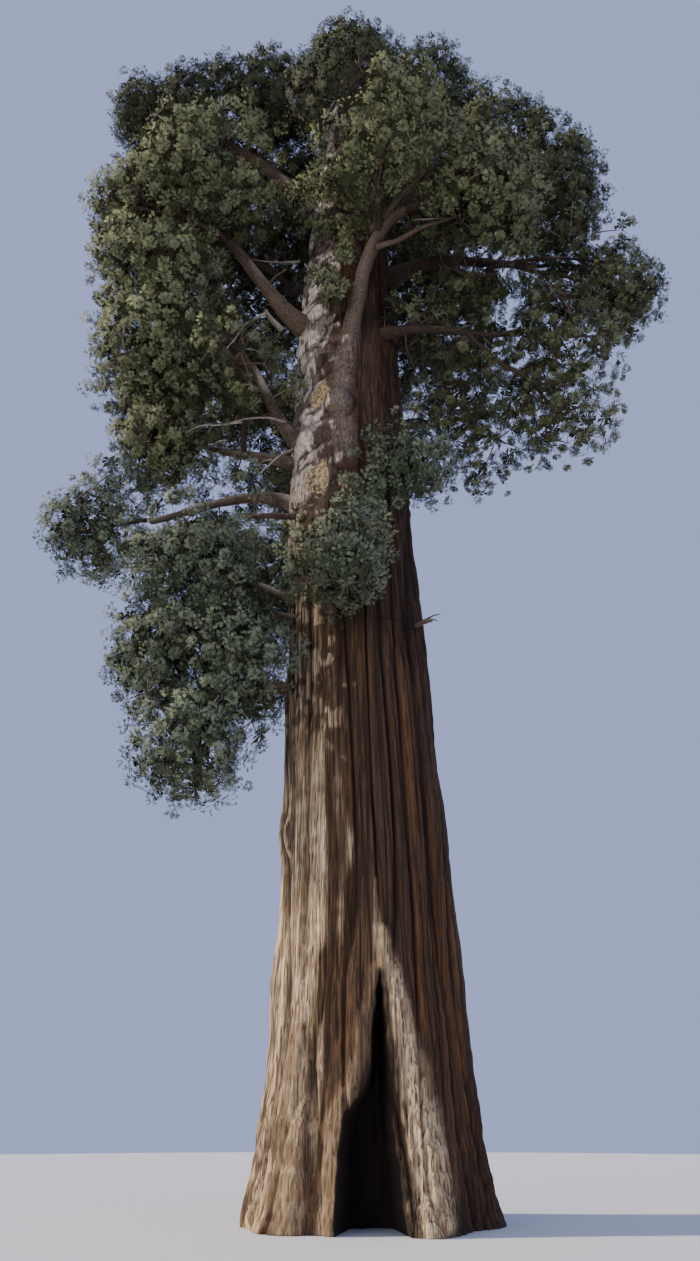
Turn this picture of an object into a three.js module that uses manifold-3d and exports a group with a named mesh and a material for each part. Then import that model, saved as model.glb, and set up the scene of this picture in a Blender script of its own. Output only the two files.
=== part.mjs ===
// Old giant sequoia: a fluted trunk with a fire hollow at its foot, boughs that bend up to
// the light, and a broad round crown of separate billows of needles. Millimetres, +Z up.
// The origin is the centre of the flat cut at ground level. -Y is the side with the hollow.

import * as THREE from "three";
import { mergeVertices } from "three/addons/utils/BufferGeometryUtils.js";
import Module from "manifold-3d";

const wasm = await Module();
wasm.setup();

// Driving dimensions, in metres, with turns in degrees from +X towards +Y.
const METRE = 1000; // millimetres
const GAP = 0.0004; // clear space where one piece meets another

const trunk = {
  height: 36.9,
  footRadius: 1.92, // at the ground, without the flare
  taper: 0.022, // radius lost for each metre up to the crown
  flare: 0.42,
  flareHeight: 2.2,
  crownHeight: 24, // above this the taper is quick
  tipRadius: 0.1,
  topPower: 1.3,
  leanX: -0.45,
  leanFrom: 4,
  leanTo: 20,
  sides: 34,
  rings: 17,
  ringPower: 1.35, // above 1 the rings crowd towards the foot
};

// Waves round the trunk's section: count, turn in radians, depth as a share of the radius.
const buttresses = [
  { count: 5, turn: 0, depth: 0.035 },
  { count: 9, turn: 2.1, depth: 0.03 },
];
const buttressHeight = 2.6;
const grooves = { count: 13, depth: 0.014, wander: 0.4, wanderHeight: 5 };

// The charred hollow, seen from the front: X and Z where it breaks the bark.
const hollow = {
  halfWidth: 0.7,
  shoulderRight: [0.44, 2.1],
  apex: [0.2, 4.5],
  shoulderLeft: [0.0, 2.55],
  lip: [-0.48, 1.85], // bark overhangs the left side here
  underLip: [-0.58, 1.15],
  mouthY: -2.1,
  backY: -0.75,
  narrowing: 0.4, // share of its width and height lost at the back
  spare: 1, // the cutter runs on this far in front and below
};

const bough = { sides: 6, steps: 6, endDepth: 0.85, taperPower: 1.2 };
const stub = { sides: 5, steps: 2, end: 0.5 };
const roughTrunk = { sides: 12, rings: 12, clear: 0.04 }; // what the cores are cut by

// A stem leaves its bough between the two shares of its length, or at its end.
const stem = { sides: 5, steps: 3, girth: 0.8, end: 0.6, rise: 0.06, from: 0.25, to: 0.83, last: 0.97 };

// How closely the limbs are sampled when twigs and sprays are kept off them.
const samples = { trunkFrom: 5, trunkStep: 0.5, bough: 24, stub: 8, stem: 12 };

// Each mass of foliage fills part of an ellipsoid: core, twigs and toothed sprays.
const foliage = {
  core: 0.6, // share of the reach in each direction
  lump: 0.45, // how much of that a hollow of the core loses
  ways: 8, // directions in which it grows
  twigEvery: 3, // the other ways have their sprays straight from the core
  twigRadius: 0.08,
  twigFrom: 0.3,
  twigTo: 0.84,
  sprayLength: 0.78, // share of the mass's radius
  sprayWidth: 0.95, // share of its length
  sprayThick: 0.16,
  sprays: [
    { at: 0.38, onTwig: 0.46, lean: 0.9 },
    { at: 0.44, onTwig: 0.5, lean: -0.6 },
  ],
  fits: [1, 0.9, 0.8, 0.7, 0.6, 0.5],
  clearance: 0.03,
  goldenTurn: 2.39996,
  seedFrom: 0.7,
  seedStep: 1.3,
  sideSeed: 2, // added to a mass's seed for the sprays' other side
  coreSeed: [1, 2, 3],
};

// Limbs with what they carry. A bough leaves the trunk's axis and is drawn by its two bends.
// A mass is: name, turn, reach from the trunk's axis, height of its centre, radius, and
// flatness (its upright radius over that radius).
const crown = [
  {
    bough: null, leaves: 36.2, girth: 0.16,
    masses: [["crest", 90, 0.9, 37.9, 1.95, 1.23]],
  },
  {
    bough: null, leaves: 34.0, girth: 0.2,
    masses: [["crest_right", 20, 3.2, 36.2, 2.2, 1.25]],
  },
  {
    bough: null, leaves: 32.8, girth: 0.2,
    masses: [["crest_left", 172, 2.9, 34.7, 2.25, 1.25]],
  },
  {
    bough: null, leaves: 30.4, girth: 0.22,
    masses: [["back_top", 108, 3.9, 34.0, 2.65, 1.2]],
  },
  {
    bough: null, leaves: 29.4, girth: 0.2,
    masses: [["front_top", 272, 2.7, 30.4, 2.2, 1.25]],
  },
  {
    bough: "upper_left", leaves: 28.0, girth: 0.3, tip: 0.13,
    bends: [[-2.4, 0.3, 29.3], [-4.6, 0.8, 33.9]],
    masses: [
      ["core_left", 148, 3.6, 31.2, 2.3, 1.15],
      ["upper_left", 172, 5.5, 34.2, 2.2, 1.2],
      ["far_upper_left", 170, 8.0, 35.6, 1.55, 1.3],
    ],
  },
  {
    bough: "shoulder_right", leaves: 28.0, girth: 0.27, tip: 0.13,
    bends: [[1.1, 0.2, 28.9], [2.4, 0.4, 30]],
    masses: [
      ["back_high_right", 50, 4.4, 33.2, 2.55, 1.2],
      ["shoulder_right", 8, 5.6, 32.8, 2.35, 1.25],
    ],
  },
  {
    bough: "right_high", leaves: 23.4, girth: 0.3, tip: 0.1,
    bends: [[1.4, -0.7, 25.9], [3.4, -0.4, 25.3]],
    masses: [
      ["upper_right", 4, 6.9, 29.6, 2.55, 1.2],
      ["far_right", 356, 8.6, 23.7, 1.45, 1.1],
      ["mid_right", 2, 7.6, 26.0, 2.2, 1.15],
    ],
  },
  {
    bough: "right_low", leaves: 21.2, girth: 0.24, tip: 0.1,
    bends: [[0.2, -1.7, 21.9], [2.2, -1.2, 21.5]],
    masses: [
      ["tip_low_right", 350, 5.9, 18.6, 1.8, 1.15],
      ["lower_right", 352, 6.2, 21.6, 2.3, 1.05],
    ],
  },
  {
    bough: "inner_right", leaves: 20.6, girth: 0.17, tip: 0.09,
    bends: [[0.3, -0.3, 21.5], [1.1, -0.6, 22.1]],
    masses: [
      ["hang_right", 12, 3.5, 20.4, 1.7, 1.2],
      ["inner_right", 338, 3.9, 23.4, 1.85, 1.1],
    ],
  },
  {
    bough: "front", leaves: 18.4, girth: 0.42, tip: 0.2,
    bends: [[-0.5, -2.2, 21.4], [0.1, -2.5, 24.8]],
    masses: [
      ["front_high", 284, 4.3, 25.4, 2.4, 1.05],
      ["front_side", 316, 5.1, 24.2, 2.3, 1.05],
    ],
  },
  {
    bough: "left_arch", leaves: 21.9, girth: 0.38, tip: 0.14,
    bends: [[-3.1, -0.9, 22.4], [-3.3, -1.2, 25.5]],
    masses: [
      ["left_arch", 212, 4.7, 26.4, 2.55, 1.05],
      ["left_arch_tip", 196, 6.4, 25.7, 2.05, 1.1],
    ],
  },
  {
    bough: "left_mid", leaves: 17.0, girth: 0.25, tip: 0.12,
    bends: [[-3.2, -0.4, 18.8], [-2.5, -1, 20.9]],
    masses: [
      ["left_mid_high", 198, 5.6, 22.8, 2.4, 1],
      ["left_mid", 193, 5.5, 20.2, 2.3, 0.95],
    ],
  },
  {
    bough: "left_inner", leaves: 16.8, girth: 0.21, tip: 0.1,
    bends: [[-1.3, -0.1, 17.5], [-2.5, -0.3, 17.7]],
    masses: [
      ["left_inner", 217, 3.6, 19.3, 1.65, 1.15],
      ["left_low", 188, 5.1, 17.8, 1.9, 0.95],
    ],
  },
  {
    bough: "left_low", leaves: 15.4, girth: 0.2, tip: 0.08,
    bends: [[-2.6, -0.4, 17.3], [-4.2, -0.5, 15.7]],
    masses: [["left_bough_tip", 185, 6.7, 15.1, 1.7, 1.05]],
  },
  {
    bough: "drape_high", leaves: 12.4, girth: 0.15, tip: 0.09,
    bends: [[-1, -0.3, 12.8], [-1.8, -0.6, 13]],
    masses: [["drape_top", 202, 4.1, 13.6, 1.9, 1.1]],
  },
  {
    bough: "drape_low", leaves: 10.2, girth: 0.17, tip: 0.08,
    bends: [[-1.2, -0.3, 10.5], [-2.3, -0.6, 10.7]],
    masses: [
      ["drape_inner", 213, 3.3, 10.9, 1.5, 1.25],
      ["drape_low", 202, 4.0, 8.8, 1.55, 1.1],
      ["drape_mid", 195, 4.7, 11.2, 1.65, 1.2],
    ],
  },
  {
    bough: null, leaves: 15.4, girth: 0.09,
    masses: [["trunk_right", 305, 2.8, 15.8, 1.2, 1.4]],
  },
  {
    bough: null, leaves: 13.2, girth: 0.11,
    masses: [["trunk_front", 262, 2.9, 12.8, 1.5, 1.1]],
  },
  {
    bough: "back_left", leaves: 24.8, girth: 0.3, tip: 0.14,
    bends: [[-1.2, 1, 25.9], [-1.9, 1.9, 26.9]],
    masses: [
      ["left_high", 172, 6.2, 29.6, 2.55, 1.2],
      ["back_left", 128, 5.6, 29.2, 2.85, 1.1],
    ],
  },
  {
    bough: "back_right", leaves: 24.0, girth: 0.28, tip: 0.14,
    bends: [[0.3, 1, 25.2], [1, 2, 26.2]],
    masses: [["back_right", 55, 5.7, 28.6, 2.95, 1.1]],
  },
  {
    bough: "back_mid", leaves: 20.4, girth: 0.32, tip: 0.15,
    bends: [[-0.5, 1.3, 21.8], [-0.5, 2.6, 22.8]],
    masses: [
      ["back_low", 98, 5.0, 20.4, 2.65, 1.1],
      ["back_mid", 92, 6.0, 25.0, 2.95, 1.1],
    ],
  },
  {
    bough: "back_low_left", leaves: 19.2, girth: 0.26, tip: 0.13,
    bends: [[-1.5, 0.6, 20.5], [-2.5, 1.3, 21.4]],
    masses: [["back_low_left", 148, 5.6, 23.4, 2.85, 1.1]],
  },
  {
    bough: null, leaves: 13.4, girth: 0.16,
    masses: [["back_drape", 128, 3.9, 15.4, 2.2, 1.4]],
  },
  {
    bough: "back_low_right", leaves: 18.4, girth: 0.26, tip: 0.13,
    bends: [[0.5, 0.9, 19.8], [1.5, 1.8, 20.7]],
    masses: [["back_low_right", 42, 6.0, 22.8, 2.85, 1.1]],
  },
];

// Broken dead limbs that still stand out of the trunk.
const stubs = [
  { name: "stub_left_high", turn: 204, height: 16.0, length: 2.9, girth: 0.13, rise: -0.9 },
  { name: "stub_left_low", turn: 200, height: 12.5, length: 2.15, girth: 0.15, rise: 0.05 },
];

// Corners of a spray: along it, across its thickness and across its width.
const blade = {
  root: [0, 0, 0],
  tip: [1, 0, 0],
  barb: [0.62, 0, 0.5],
  notch: [0.7, 0, 0.18],
  ridge: [0.6, 0.5, 0],
};

const barkFinish = finish(0x8a5638, 0.95);
const limbFinish = finish(0x84705c, 0.9);
const highNeedles = finish(0x4d5a2b, 0.85);
const lowNeedles = finish(0x5d6b52, 0.85);
const greyBelow = 17; // metres: the shaded masses below this are greyer

function finish(color, roughness) {
  return new THREE.MeshStandardMaterial({ color, roughness, metalness: 0 });
}

// A repeatable number from 0 to 1 for each seed.
function chance(seed) {
  const wide = Math.sin(seed * 12.9898) * 43758.5453;
  return wide - Math.floor(wide);
}

function polar(turn, reach, height) {
  const angle = THREE.MathUtils.degToRad(turn);
  return new THREE.Vector3(
    leanAt(height) + reach * Math.cos(angle),
    reach * Math.sin(angle),
    height,
  );
}

// Turns a unit form into a solid: each vertex goes where the rule sends it.
function shaped(form, rule) {
  form.deleteAttribute("normal");
  form.deleteAttribute("uv");
  const skin = mergeVertices(form, 1e-4);
  const points = skin.attributes.position;
  for (let i = 0; i < points.count; i++) {
    const to = rule(new THREE.Vector3().fromBufferAttribute(points, i));
    points.setXYZ(i, to.x * METRE, to.y * METRE, to.z * METRE);
  }
  const mesh = new wasm.Mesh({
    numProp: 3,
    vertProperties: points.array,
    triVerts: new Uint32Array(skin.index.array),
  });
  return new wasm.Manifold(mesh);
}

// The trunk's centre line and section.
function leanAt(height) {
  return trunk.leanX * THREE.MathUtils.smoothstep(height, trunk.leanFrom, trunk.leanTo);
}

function trunkRadius(height) {
  const shaft = trunk.footRadius - trunk.taper * Math.min(height, trunk.crownHeight);
  const above = Math.max(0, height - trunk.crownHeight);
  const share = above / (trunk.height - trunk.crownHeight);
  const flare = trunk.flare * Math.exp(-height / trunk.flareHeight);
  return trunk.tipRadius + (shaft - trunk.tipRadius) * (1 - share ** trunk.topPower) + flare;
}

// Buttresses at the foot that fade into shallow flutes.
function flute(angle, height) {
  const fade = Math.exp(-height / buttressHeight);
  const wander = grooves.wander * Math.sin(height / grooves.wanderHeight);
  const groove = grooves.depth * Math.cos(grooves.count * angle + wander);
  return buttresses.reduce(
    (sum, { count, turn, depth }) => sum + fade * depth * Math.cos(count * angle + turn),
    1 + groove,
  );
}

function trunkBody(extra = 0, sides = trunk.sides, rings = trunk.rings) {
  const column = new THREE.CylinderGeometry(1, 1, 1, sides, rings);
  return shaped(column, (at) => {
    const height = trunk.height * (at.y + 0.5) ** trunk.ringPower;
    const angle = Math.atan2(-at.z, at.x);
    const out = trunkRadius(height) * flute(angle, height) + extra;
    const end = at.y === 0.5 ? extra : 0;
    return new THREE.Vector3(leanAt(height) + at.x * out, -at.z * out, height + end);
  });
}

function fireHollow() {
  const outline = new THREE.Shape();
  outline.moveTo(-hollow.halfWidth, -hollow.spare);
  outline.lineTo(hollow.halfWidth, -hollow.spare);
  outline.lineTo(hollow.halfWidth, 0);
  outline.lineTo(...hollow.shoulderRight);
  outline.lineTo(...hollow.apex);
  outline.lineTo(...hollow.shoulderLeft);
  outline.lineTo(...hollow.lip);
  outline.lineTo(...hollow.underLip);
  outline.lineTo(-hollow.halfWidth, 0);
  const block = new THREE.ExtrudeGeometry(outline, { depth: 1, bevelEnabled: false });
  const frontY = hollow.mouthY - hollow.spare;
  return shaped(block, (at) => {
    const y = hollow.backY + (frontY - hollow.backY) * at.z;
    const inward = (y - hollow.mouthY) / (hollow.backY - hollow.mouthY);
    const share = 1 - hollow.narrowing * inward;
    return new THREE.Vector3(at.x * share, y, at.y * share);
  });
}

// A tapering limb along a curve. Its radius falls from base to tip.
function limb(path, base, tip, sides, steps, extra = 0) {
  const frames = path.computeFrenetFrames(steps, false);
  return shaped(new THREE.CylinderGeometry(1, 1, 1, sides, steps), (at) => {
    const along = at.y + 0.5;
    const k = Math.round(along * steps);
    const radius = tip + (base - tip) * (1 - along) ** bough.taperPower + extra;
    const end = extra * (k === steps ? 1 : k === 0 ? -1 : 0);
    return path
      .getPointAt(k / steps)
      .addScaledVector(frames.binormals[k], at.x * radius)
      .addScaledVector(frames.normals[k], at.z * radius)
      .addScaledVector(frames.tangents[k], end);
  });
}

// Points with radii along a limb, to keep twigs and sprays off it.
function axisOf(path, base, tip, count) {
  const points = path.getSpacedPoints(count);
  return points.map((at, i) => ({ at, radius: tip + (base - tip) * (1 - i / count) }));
}

// Where a mass's own space ends in a direction from its centre.
function reachOf(mass, direction) {
  const scaled = direction.clone().divide(mass.radii);
  let reach = 1 / scaled.length();
  for (const wall of mass.walls) {
    const facing = direction.dot(wall.normal);
    if (facing > 1e-6) reach = Math.min(reach, wall.distance / facing);
  }
  return reach;
}

function holds(mass, point) {
  const from = point.clone().sub(mass.centre);
  const length = from.length();
  return length < 1e-6 || length <= reachOf(mass, from.divideScalar(length));
}

// Neighbours share the space between them by a flat wall.
function raiseWalls(masses) {
  for (const mass of masses) {
    for (const other of masses) {
      if (other === mass) continue;
      const normal = other.centre.clone().sub(mass.centre);
      const between = normal.length();
      normal.divideScalar(between);
      const mine = 1 / normal.clone().divide(mass.radii).length();
      const theirs = 1 / normal.clone().divide(other.radii).length();
      if (mine + theirs < between) continue;
      const distance = (between * mine) / (mine + theirs) - foliage.clearance;
      mass.walls.push({ normal, distance });
    }
  }
}

function touchesLimb(points, limbs) {
  return points.some((point) =>
    limbs.some(({ at, radius }) => at.distanceTo(point) < radius + foliage.clearance),
  );
}

// Directions spread evenly over a sphere, turned by the seed.
function spread(k, count, seed) {
  const z = 1 - (2 * (k + 0.5)) / count;
  const angle = k * foliage.goldenTurn + seed;
  const flat = Math.sqrt(1 - z * z);
  return new THREE.Vector3(Math.cos(angle) * flat, Math.sin(angle) * flat, z);
}

function coreOf(mass) {
  const roller = new THREE.Vector3(...foliage.coreSeed);
  return shaped(new THREE.IcosahedronGeometry(1, 0), (at) => {
    const direction = at.clone().normalize();
    const roll = chance(mass.seed + at.dot(roller));
    const share = foliage.core * (1 - foliage.lump * roll);
    return mass.centre.clone().addScaledVector(direction, reachOf(mass, direction) * share);
  });
}

// A spray of needles is a flat blade with three teeth: the six points round a sphere's
// middle and its two poles become the blade's corners.
function bladeCorner(at) {
  const near = 0.1;
  if (Math.abs(at.y) > 1 - near) return blade.ridge;
  if (at.x < near - 1) return blade.root;
  if (at.x > 1 - near) return blade.tip;
  return at.x < 0 ? blade.barb : blade.notch;
}

function sprayOf(root, along, side, length) {
  const up = side.clone().cross(along).normalize();
  const corners = [];
  const solid = shaped(new THREE.SphereGeometry(1, 6, 2), (at) => {
    const [x, y, z] = bladeCorner(at);
    const to = root
      .clone()
      .addScaledVector(along, x * length)
      .addScaledVector(up, Math.sign(at.y) * y * length * foliage.sprayThick)
      .addScaledVector(side, Math.sign(at.z) * z * length * foliage.sprayWidth);
    corners.push(to);
    return to;
  });
  return { solid, corners };
}

function twigOf(mass, direction, reach) {
  const from = mass.centre.clone().addScaledVector(direction, foliage.twigFrom * reach);
  const to = mass.centre.clone().addScaledVector(direction, foliage.twigTo * reach);
  const frames = new THREE.LineCurve3(from, to).computeFrenetFrames(1, false);
  const solid = shaped(new THREE.ConeGeometry(1, 1, 3, 1), (at) => {
    const point = at.y > 0 ? to.clone() : from.clone();
    return point
      .addScaledVector(frames.binormals[0], at.x * foliage.twigRadius)
      .addScaledVector(frames.normals[0], at.z * foliage.twigRadius);
  });
  return { solid, corners: [to] };
}

// The longest spray of a few sizes that stays in the mass's space and off the limbs.
function fittedSpray(mass, root, along, side, limbs) {
  for (const share of foliage.fits) {
    const length = foliage.sprayLength * mass.radii.x * share;
    const spray = sprayOf(root, along, side, length);
    const fits = spray.corners.every((corner) => holds(mass, corner));
    if (fits && !touchesLimb(spray.corners, limbs)) return spray.solid;
  }
  return null;
}

// Twigs and sprays grow in all directions. The sprays lean to one side and the other.
function twigsAndSprays(mass, limbs) {
  const pieces = [];
  for (let k = 0; k < foliage.ways; k++) {
    const direction = spread(k, foliage.ways, mass.seed);
    const reach = reachOf(mass, direction);
    const twig = twigOf(mass, direction, reach);
    const hasTwig = k % foliage.twigEvery === 0 && !touchesLimb(twig.corners, limbs);
    if (hasTwig) pieces.push(twig.solid);
    const sideways = spread(k, foliage.ways, mass.seed + foliage.sideSeed)
      .cross(direction)
      .normalize();
    for (const { at, onTwig, lean } of foliage.sprays) {
      const roll = chance(mass.seed + k + at);
      const along = direction.clone().addScaledVector(sideways, lean).normalize();
      const upright = direction.clone().applyAxisAngle(along, roll * Math.PI);
      const side = along.clone().cross(upright).normalize();
      const rootReach = (hasTwig ? onTwig : at) * reach;
      const root = mass.centre.clone().addScaledVector(direction, rootReach);
      const spray = fittedSpray(mass, root, along, side, limbs);
      if (spray) pieces.push(spray);
    }
  }
  return pieces;
}

// The largest closed body: scraps and sealed hollows are dropped.
function soundBody(solid) {
  const bodies = solid.decompose();
  return bodies.reduce((best, body) => (body.volume() > best.volume() ? body : best));
}

function cutClear(solid, cutters) {
  const box = solid.boundingBox();
  const near = cutters.filter((cutter) => {
    const other = cutter.boundingBox();
    return [0, 1, 2].every((i) => box.min[i] < other.max[i] && box.max[i] > other.min[i]);
  });
  return near.reduce((left, cutter) => left.subtract(cutter), solid);
}

function meshOf(name, solid, material) {
  const { vertProperties, triVerts } = solid.getMesh();
  const geometry = new THREE.BufferGeometry();
  geometry.setAttribute("position", new THREE.BufferAttribute(vertProperties, 3));
  geometry.setIndex(new THREE.BufferAttribute(triVerts, 1));
  geometry.computeVertexNormals();
  const mesh = new THREE.Mesh(geometry, material);
  mesh.name = name;
  return mesh;
}

// Masses with their places, radii and walls.
function layOutMasses() {
  const masses = [];
  for (const row of crown) {
    row.placed = row.masses.map(([name, turn, reach, height, size, flat]) => {
      const mass = {
        name,
        centre: polar(turn, reach, height),
        radii: new THREE.Vector3(size, size, size * flat),
        walls: [],
        seed: masses.length * foliage.seedStep + foliage.seedFrom,
      };
      masses.push(mass);
      return mass;
    });
  }
  raiseWalls(masses);
  return masses;
}

// A bough ends where it enters the last mass that it carries.
function boughPath(row) {
  const last = row.placed.at(-1);
  const start = new THREE.Vector3(leanAt(row.leaves), 0, row.leaves);
  const [first, second] = row.bends.map((at) => new THREE.Vector3(...at));
  const inward = second.clone().sub(last.centre).normalize();
  const radius = 1 / inward.clone().divide(last.radii).length();
  const end = last.centre.clone().addScaledVector(inward, bough.endDepth * radius);
  return new THREE.CubicBezierCurve3(start, first, second, end);
}

function nearestOn(path, point) {
  const points = path.getSpacedPoints(samples.bough);
  const first = Math.round(stem.from * samples.bough);
  const end = Math.round(stem.to * samples.bough) + 1;
  return points.slice(first, end).reduce((best, at) =>
    at.distanceTo(point) < best.distanceTo(point) ? at : best,
  );
}

function stemPath(from, mass) {
  const knee = from.clone().lerp(mass.centre, 0.5);
  knee.z += stem.rise * from.distanceTo(mass.centre);
  return new THREE.QuadraticBezierCurve3(from, knee, mass.centre);
}

const masses = layOutMasses();
const tree = new THREE.Group();
tree.name = "giant_sequoia";

const wood = trunkBody().subtract(fireHollow());
tree.add(meshOf("trunk", wood, barkFinish));

const trunkCutter = trunkBody(GAP);
const cutters = [trunkCutter];
const limbs = [];
for (let z = samples.trunkFrom; z < trunk.height; z += samples.trunkStep) {
  limbs.push({ at: new THREE.Vector3(leanAt(z), 0, z), radius: trunkRadius(z) });
}

for (const row of crown) {
  if (!row.bough) continue;
  row.path = boughPath(row);
  const { sides, steps } = bough;
  const solid = limb(row.path, row.girth, row.tip, sides, steps);
  const clear = soundBody(cutClear(solid, cutters));
  tree.add(meshOf("bough_" + row.bough, clear, limbFinish));
  cutters.push(limb(row.path, row.girth, row.tip, sides, steps, GAP));
  limbs.push(...axisOf(row.path, row.girth, row.tip, samples.bough));
}

for (const row of stubs) {
  const start = new THREE.Vector3(leanAt(row.height), 0, row.height);
  const end = polar(row.turn, row.length, row.height + row.rise);
  const path = new THREE.LineCurve3(start, end);
  const tip = row.girth * stub.end;
  const solid = limb(path, row.girth, tip, stub.sides, stub.steps);
  tree.add(meshOf(row.name, soundBody(solid.subtract(trunkCutter)), limbFinish));
  cutters.push(limb(path, row.girth, tip, stub.sides, stub.steps, GAP));
  limbs.push(...axisOf(path, row.girth, tip, samples.stub));
}

// Each mass hangs on a stem from its bough or from the trunk.
for (const row of crown) {
  row.placed.forEach((mass, i) => {
    const isLast = i === row.placed.length - 1;
    let from = new THREE.Vector3(leanAt(row.leaves), 0, row.leaves);
    if (row.bough) {
      from = isLast ? row.path.getPointAt(stem.last) : nearestOn(row.path, mass.centre);
    }
    const path = stemPath(from, mass);
    const base = (row.tip ?? row.girth) * stem.girth;
    const tip = base * stem.end;
    mass.stem = limb(path, base, tip, stem.sides, stem.steps);
    mass.stemCutter = limb(path, base, tip, stem.sides, stem.steps, GAP);
    mass.stemAxis = axisOf(path, base, tip, samples.stem);
  });
}

const roughCutter = trunkBody(roughTrunk.clear, roughTrunk.sides, roughTrunk.rings);
for (const mass of masses) {
  const others = masses.filter((other) => other !== mass);
  const near = [...limbs, ...others.flatMap((other) => other.stemAxis)];
  const core = coreOf(mass).subtract(roughCutter);
  const joined = wasm.Manifold.union([core, mass.stem, ...twigsAndSprays(mass, near)]);
  const clear = cutClear(joined, [...cutters, ...others.map((other) => other.stemCutter)]);
  const needles = mass.centre.z < greyBelow ? lowNeedles : highNeedles;
  tree.add(meshOf("foliage_" + mass.name, soundBody(clear), needles));
}

export default tree;
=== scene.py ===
import math
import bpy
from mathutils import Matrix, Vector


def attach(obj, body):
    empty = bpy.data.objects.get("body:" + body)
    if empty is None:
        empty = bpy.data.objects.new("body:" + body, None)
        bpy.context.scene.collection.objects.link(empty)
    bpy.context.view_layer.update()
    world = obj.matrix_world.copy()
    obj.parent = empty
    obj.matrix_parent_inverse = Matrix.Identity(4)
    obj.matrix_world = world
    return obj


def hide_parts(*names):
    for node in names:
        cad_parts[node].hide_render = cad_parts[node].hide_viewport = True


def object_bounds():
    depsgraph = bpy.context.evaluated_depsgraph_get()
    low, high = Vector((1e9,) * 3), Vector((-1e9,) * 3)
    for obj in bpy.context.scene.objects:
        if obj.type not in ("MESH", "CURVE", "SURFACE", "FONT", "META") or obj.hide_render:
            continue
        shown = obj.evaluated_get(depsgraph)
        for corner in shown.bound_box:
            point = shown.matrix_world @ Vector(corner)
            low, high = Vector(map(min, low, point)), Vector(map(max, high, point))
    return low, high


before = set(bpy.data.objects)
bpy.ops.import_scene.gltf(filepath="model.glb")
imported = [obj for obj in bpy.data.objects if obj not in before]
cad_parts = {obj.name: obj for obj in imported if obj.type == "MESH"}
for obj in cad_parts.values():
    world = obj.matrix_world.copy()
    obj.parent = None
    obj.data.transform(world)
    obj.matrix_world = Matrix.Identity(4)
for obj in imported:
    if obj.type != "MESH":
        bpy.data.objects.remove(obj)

from types import SimpleNamespace

import bmesh
import bpy
import numpy as np
from mathutils import Vector

# Old giant sequoia in metres: bark, limbs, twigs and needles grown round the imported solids.
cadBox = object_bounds()
root = "root"

# The photograph's view: from eye height, 20 m in front, tilted up.
view = {"at": (-0.369, -20.0, 1.67), "tilt": 28.38, "lens": 25.94}

# The trunk's form, as the solid has it.
trunk = {
    "height": 36.9,
    "footRadius": 1.92,
    "taper": 0.022,
    "flare": 0.42,
    "flareHeight": 2.2,
    "crownHeight": 24,
    "tipRadius": 0.1,
    "topPower": 1.3,
    "leanX": -0.45,
    "leanFrom": 4,
    "leanTo": 20,
    "buttresses": [(5, 0, 0.035), (9, 2.1, 0.03)],  # count, turn, depth
    "buttressHeight": 2.6,
    "grooves": (13, 0.014, 0.4, 5),  # count, depth, wander, height of a wander
    "lowGrid": (460, 205),  # sides and rings of each mesh
    "highGrid": (330, 288),
    "frontShare": 0.35,  # how much the columns crowd towards the front
    "splitAt": 12.0,
    "footCrowd": 1.15,  # above 1 the rings crowd towards the foot
}

# The charred hollow: X and Z of its edge, up the left side and down the right.
hollow = {
    "edge": [
        (-0.66, -0.5), (-0.64, 0.0), (-0.6, 0.5), (-0.56, 1.25), (-0.5, 1.66), (-0.4, 1.86),
        (-0.17, 2.1), (-0.01, 2.4), (0.01, 2.96), (0.08, 3.5), (0.15, 3.95), (0.19, 4.15),
        (0.24, 3.85), (0.29, 3.4), (0.33, 2.8), (0.36, 2.24), (0.4, 1.69), (0.45, 1.24),
        (0.54, 0.65), (0.64, 0.0), (0.68, -0.5),
    ],
    "middle": 0.08,
    "frontY": -0.6,  # only bark in front of this is drawn in
    "backY": -0.78,
    "backRough": 0.08,
    "wall": 0.13,  # how far in from the edge the full depth is reached
    "narrowing": 0.3,
    "scorch": 0.04,
    "ragged": 0.035,
    "wobble": 0.03,
}

# Rolls of new wood along the hollow, as lines of X and Z. Width and stand are given for the
# line's top and its foot.
# A roll's pale share is partly painted sunlight on the rolls that face the sun, and partly the paleness of
# new wood.
rolls = [
    {"line": [(0.24, 4.9), (0.44, 4.05), (0.66, 3.0), (0.86, 2.0), (0.98, 1.0), (1.06, 0.0)],
     "width": (0.14, 0.45), "stand": (0.1, 0.3), "pale": 0.88, "wrinkle": 0.33},
    {"line": [(-0.78, 0.0), (-0.7, 1.1), (-0.64, 1.7), (-0.38, 2.2), (-0.15, 2.7),
              (-0.08, 3.3), (0.08, 4.2)],
     "width": (0.12, 0.24), "stand": (0.04, 0.08), "pale": 0.28, "wrinkle": 0.45},
    {"line": [(0.23, 4.3), (0.17, 5.0), (0.13, 5.9)],
     "width": (0.02, 0.14), "stand": (0.02, 0.05), "pale": 0.85, "wrinkle": 0.35},
    {"line": [(-0.98, 0.0), (-0.9, 1.5), (-0.66, 3.0), (-0.55, 5.0), (-0.55, 8.5)],
     "width": (0.16, 0.26), "stand": (-0.03, -0.15), "pale": 0, "wrinkle": 0.6},
    {"line": [(-1.42, 0.0), (-1.3, 2.0), (-1.15, 5.0), (-1.05, 9.0)],
     "width": (0.16, 0.3), "stand": (0.05, 0.12), "pale": 0.5, "wrinkle": 0.4},
    {"line": [(-0.4, 21.0), (-0.54, 19.9), (-0.64, 19.0), (-0.66, 18.2), (-0.6, 17.2)],
     "width": (0.3, 0.4), "stand": (0.3, 0.08), "pale": 0.2, "wrinkle": 0.5},
]

# How the rolls look on the bark.
rollLooks = {
    "wrinkleBend": (5, 0.2),  # how much wobble and stray bend the wrinkles
    "wrinkleDeep": 0.06,
    "clean": 0.7,
    "paleWave": (0.92, 0.12),
    "paleEdge": (1.5, 0.2, 7),  # how sharp, how far in, how ragged
}

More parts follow.
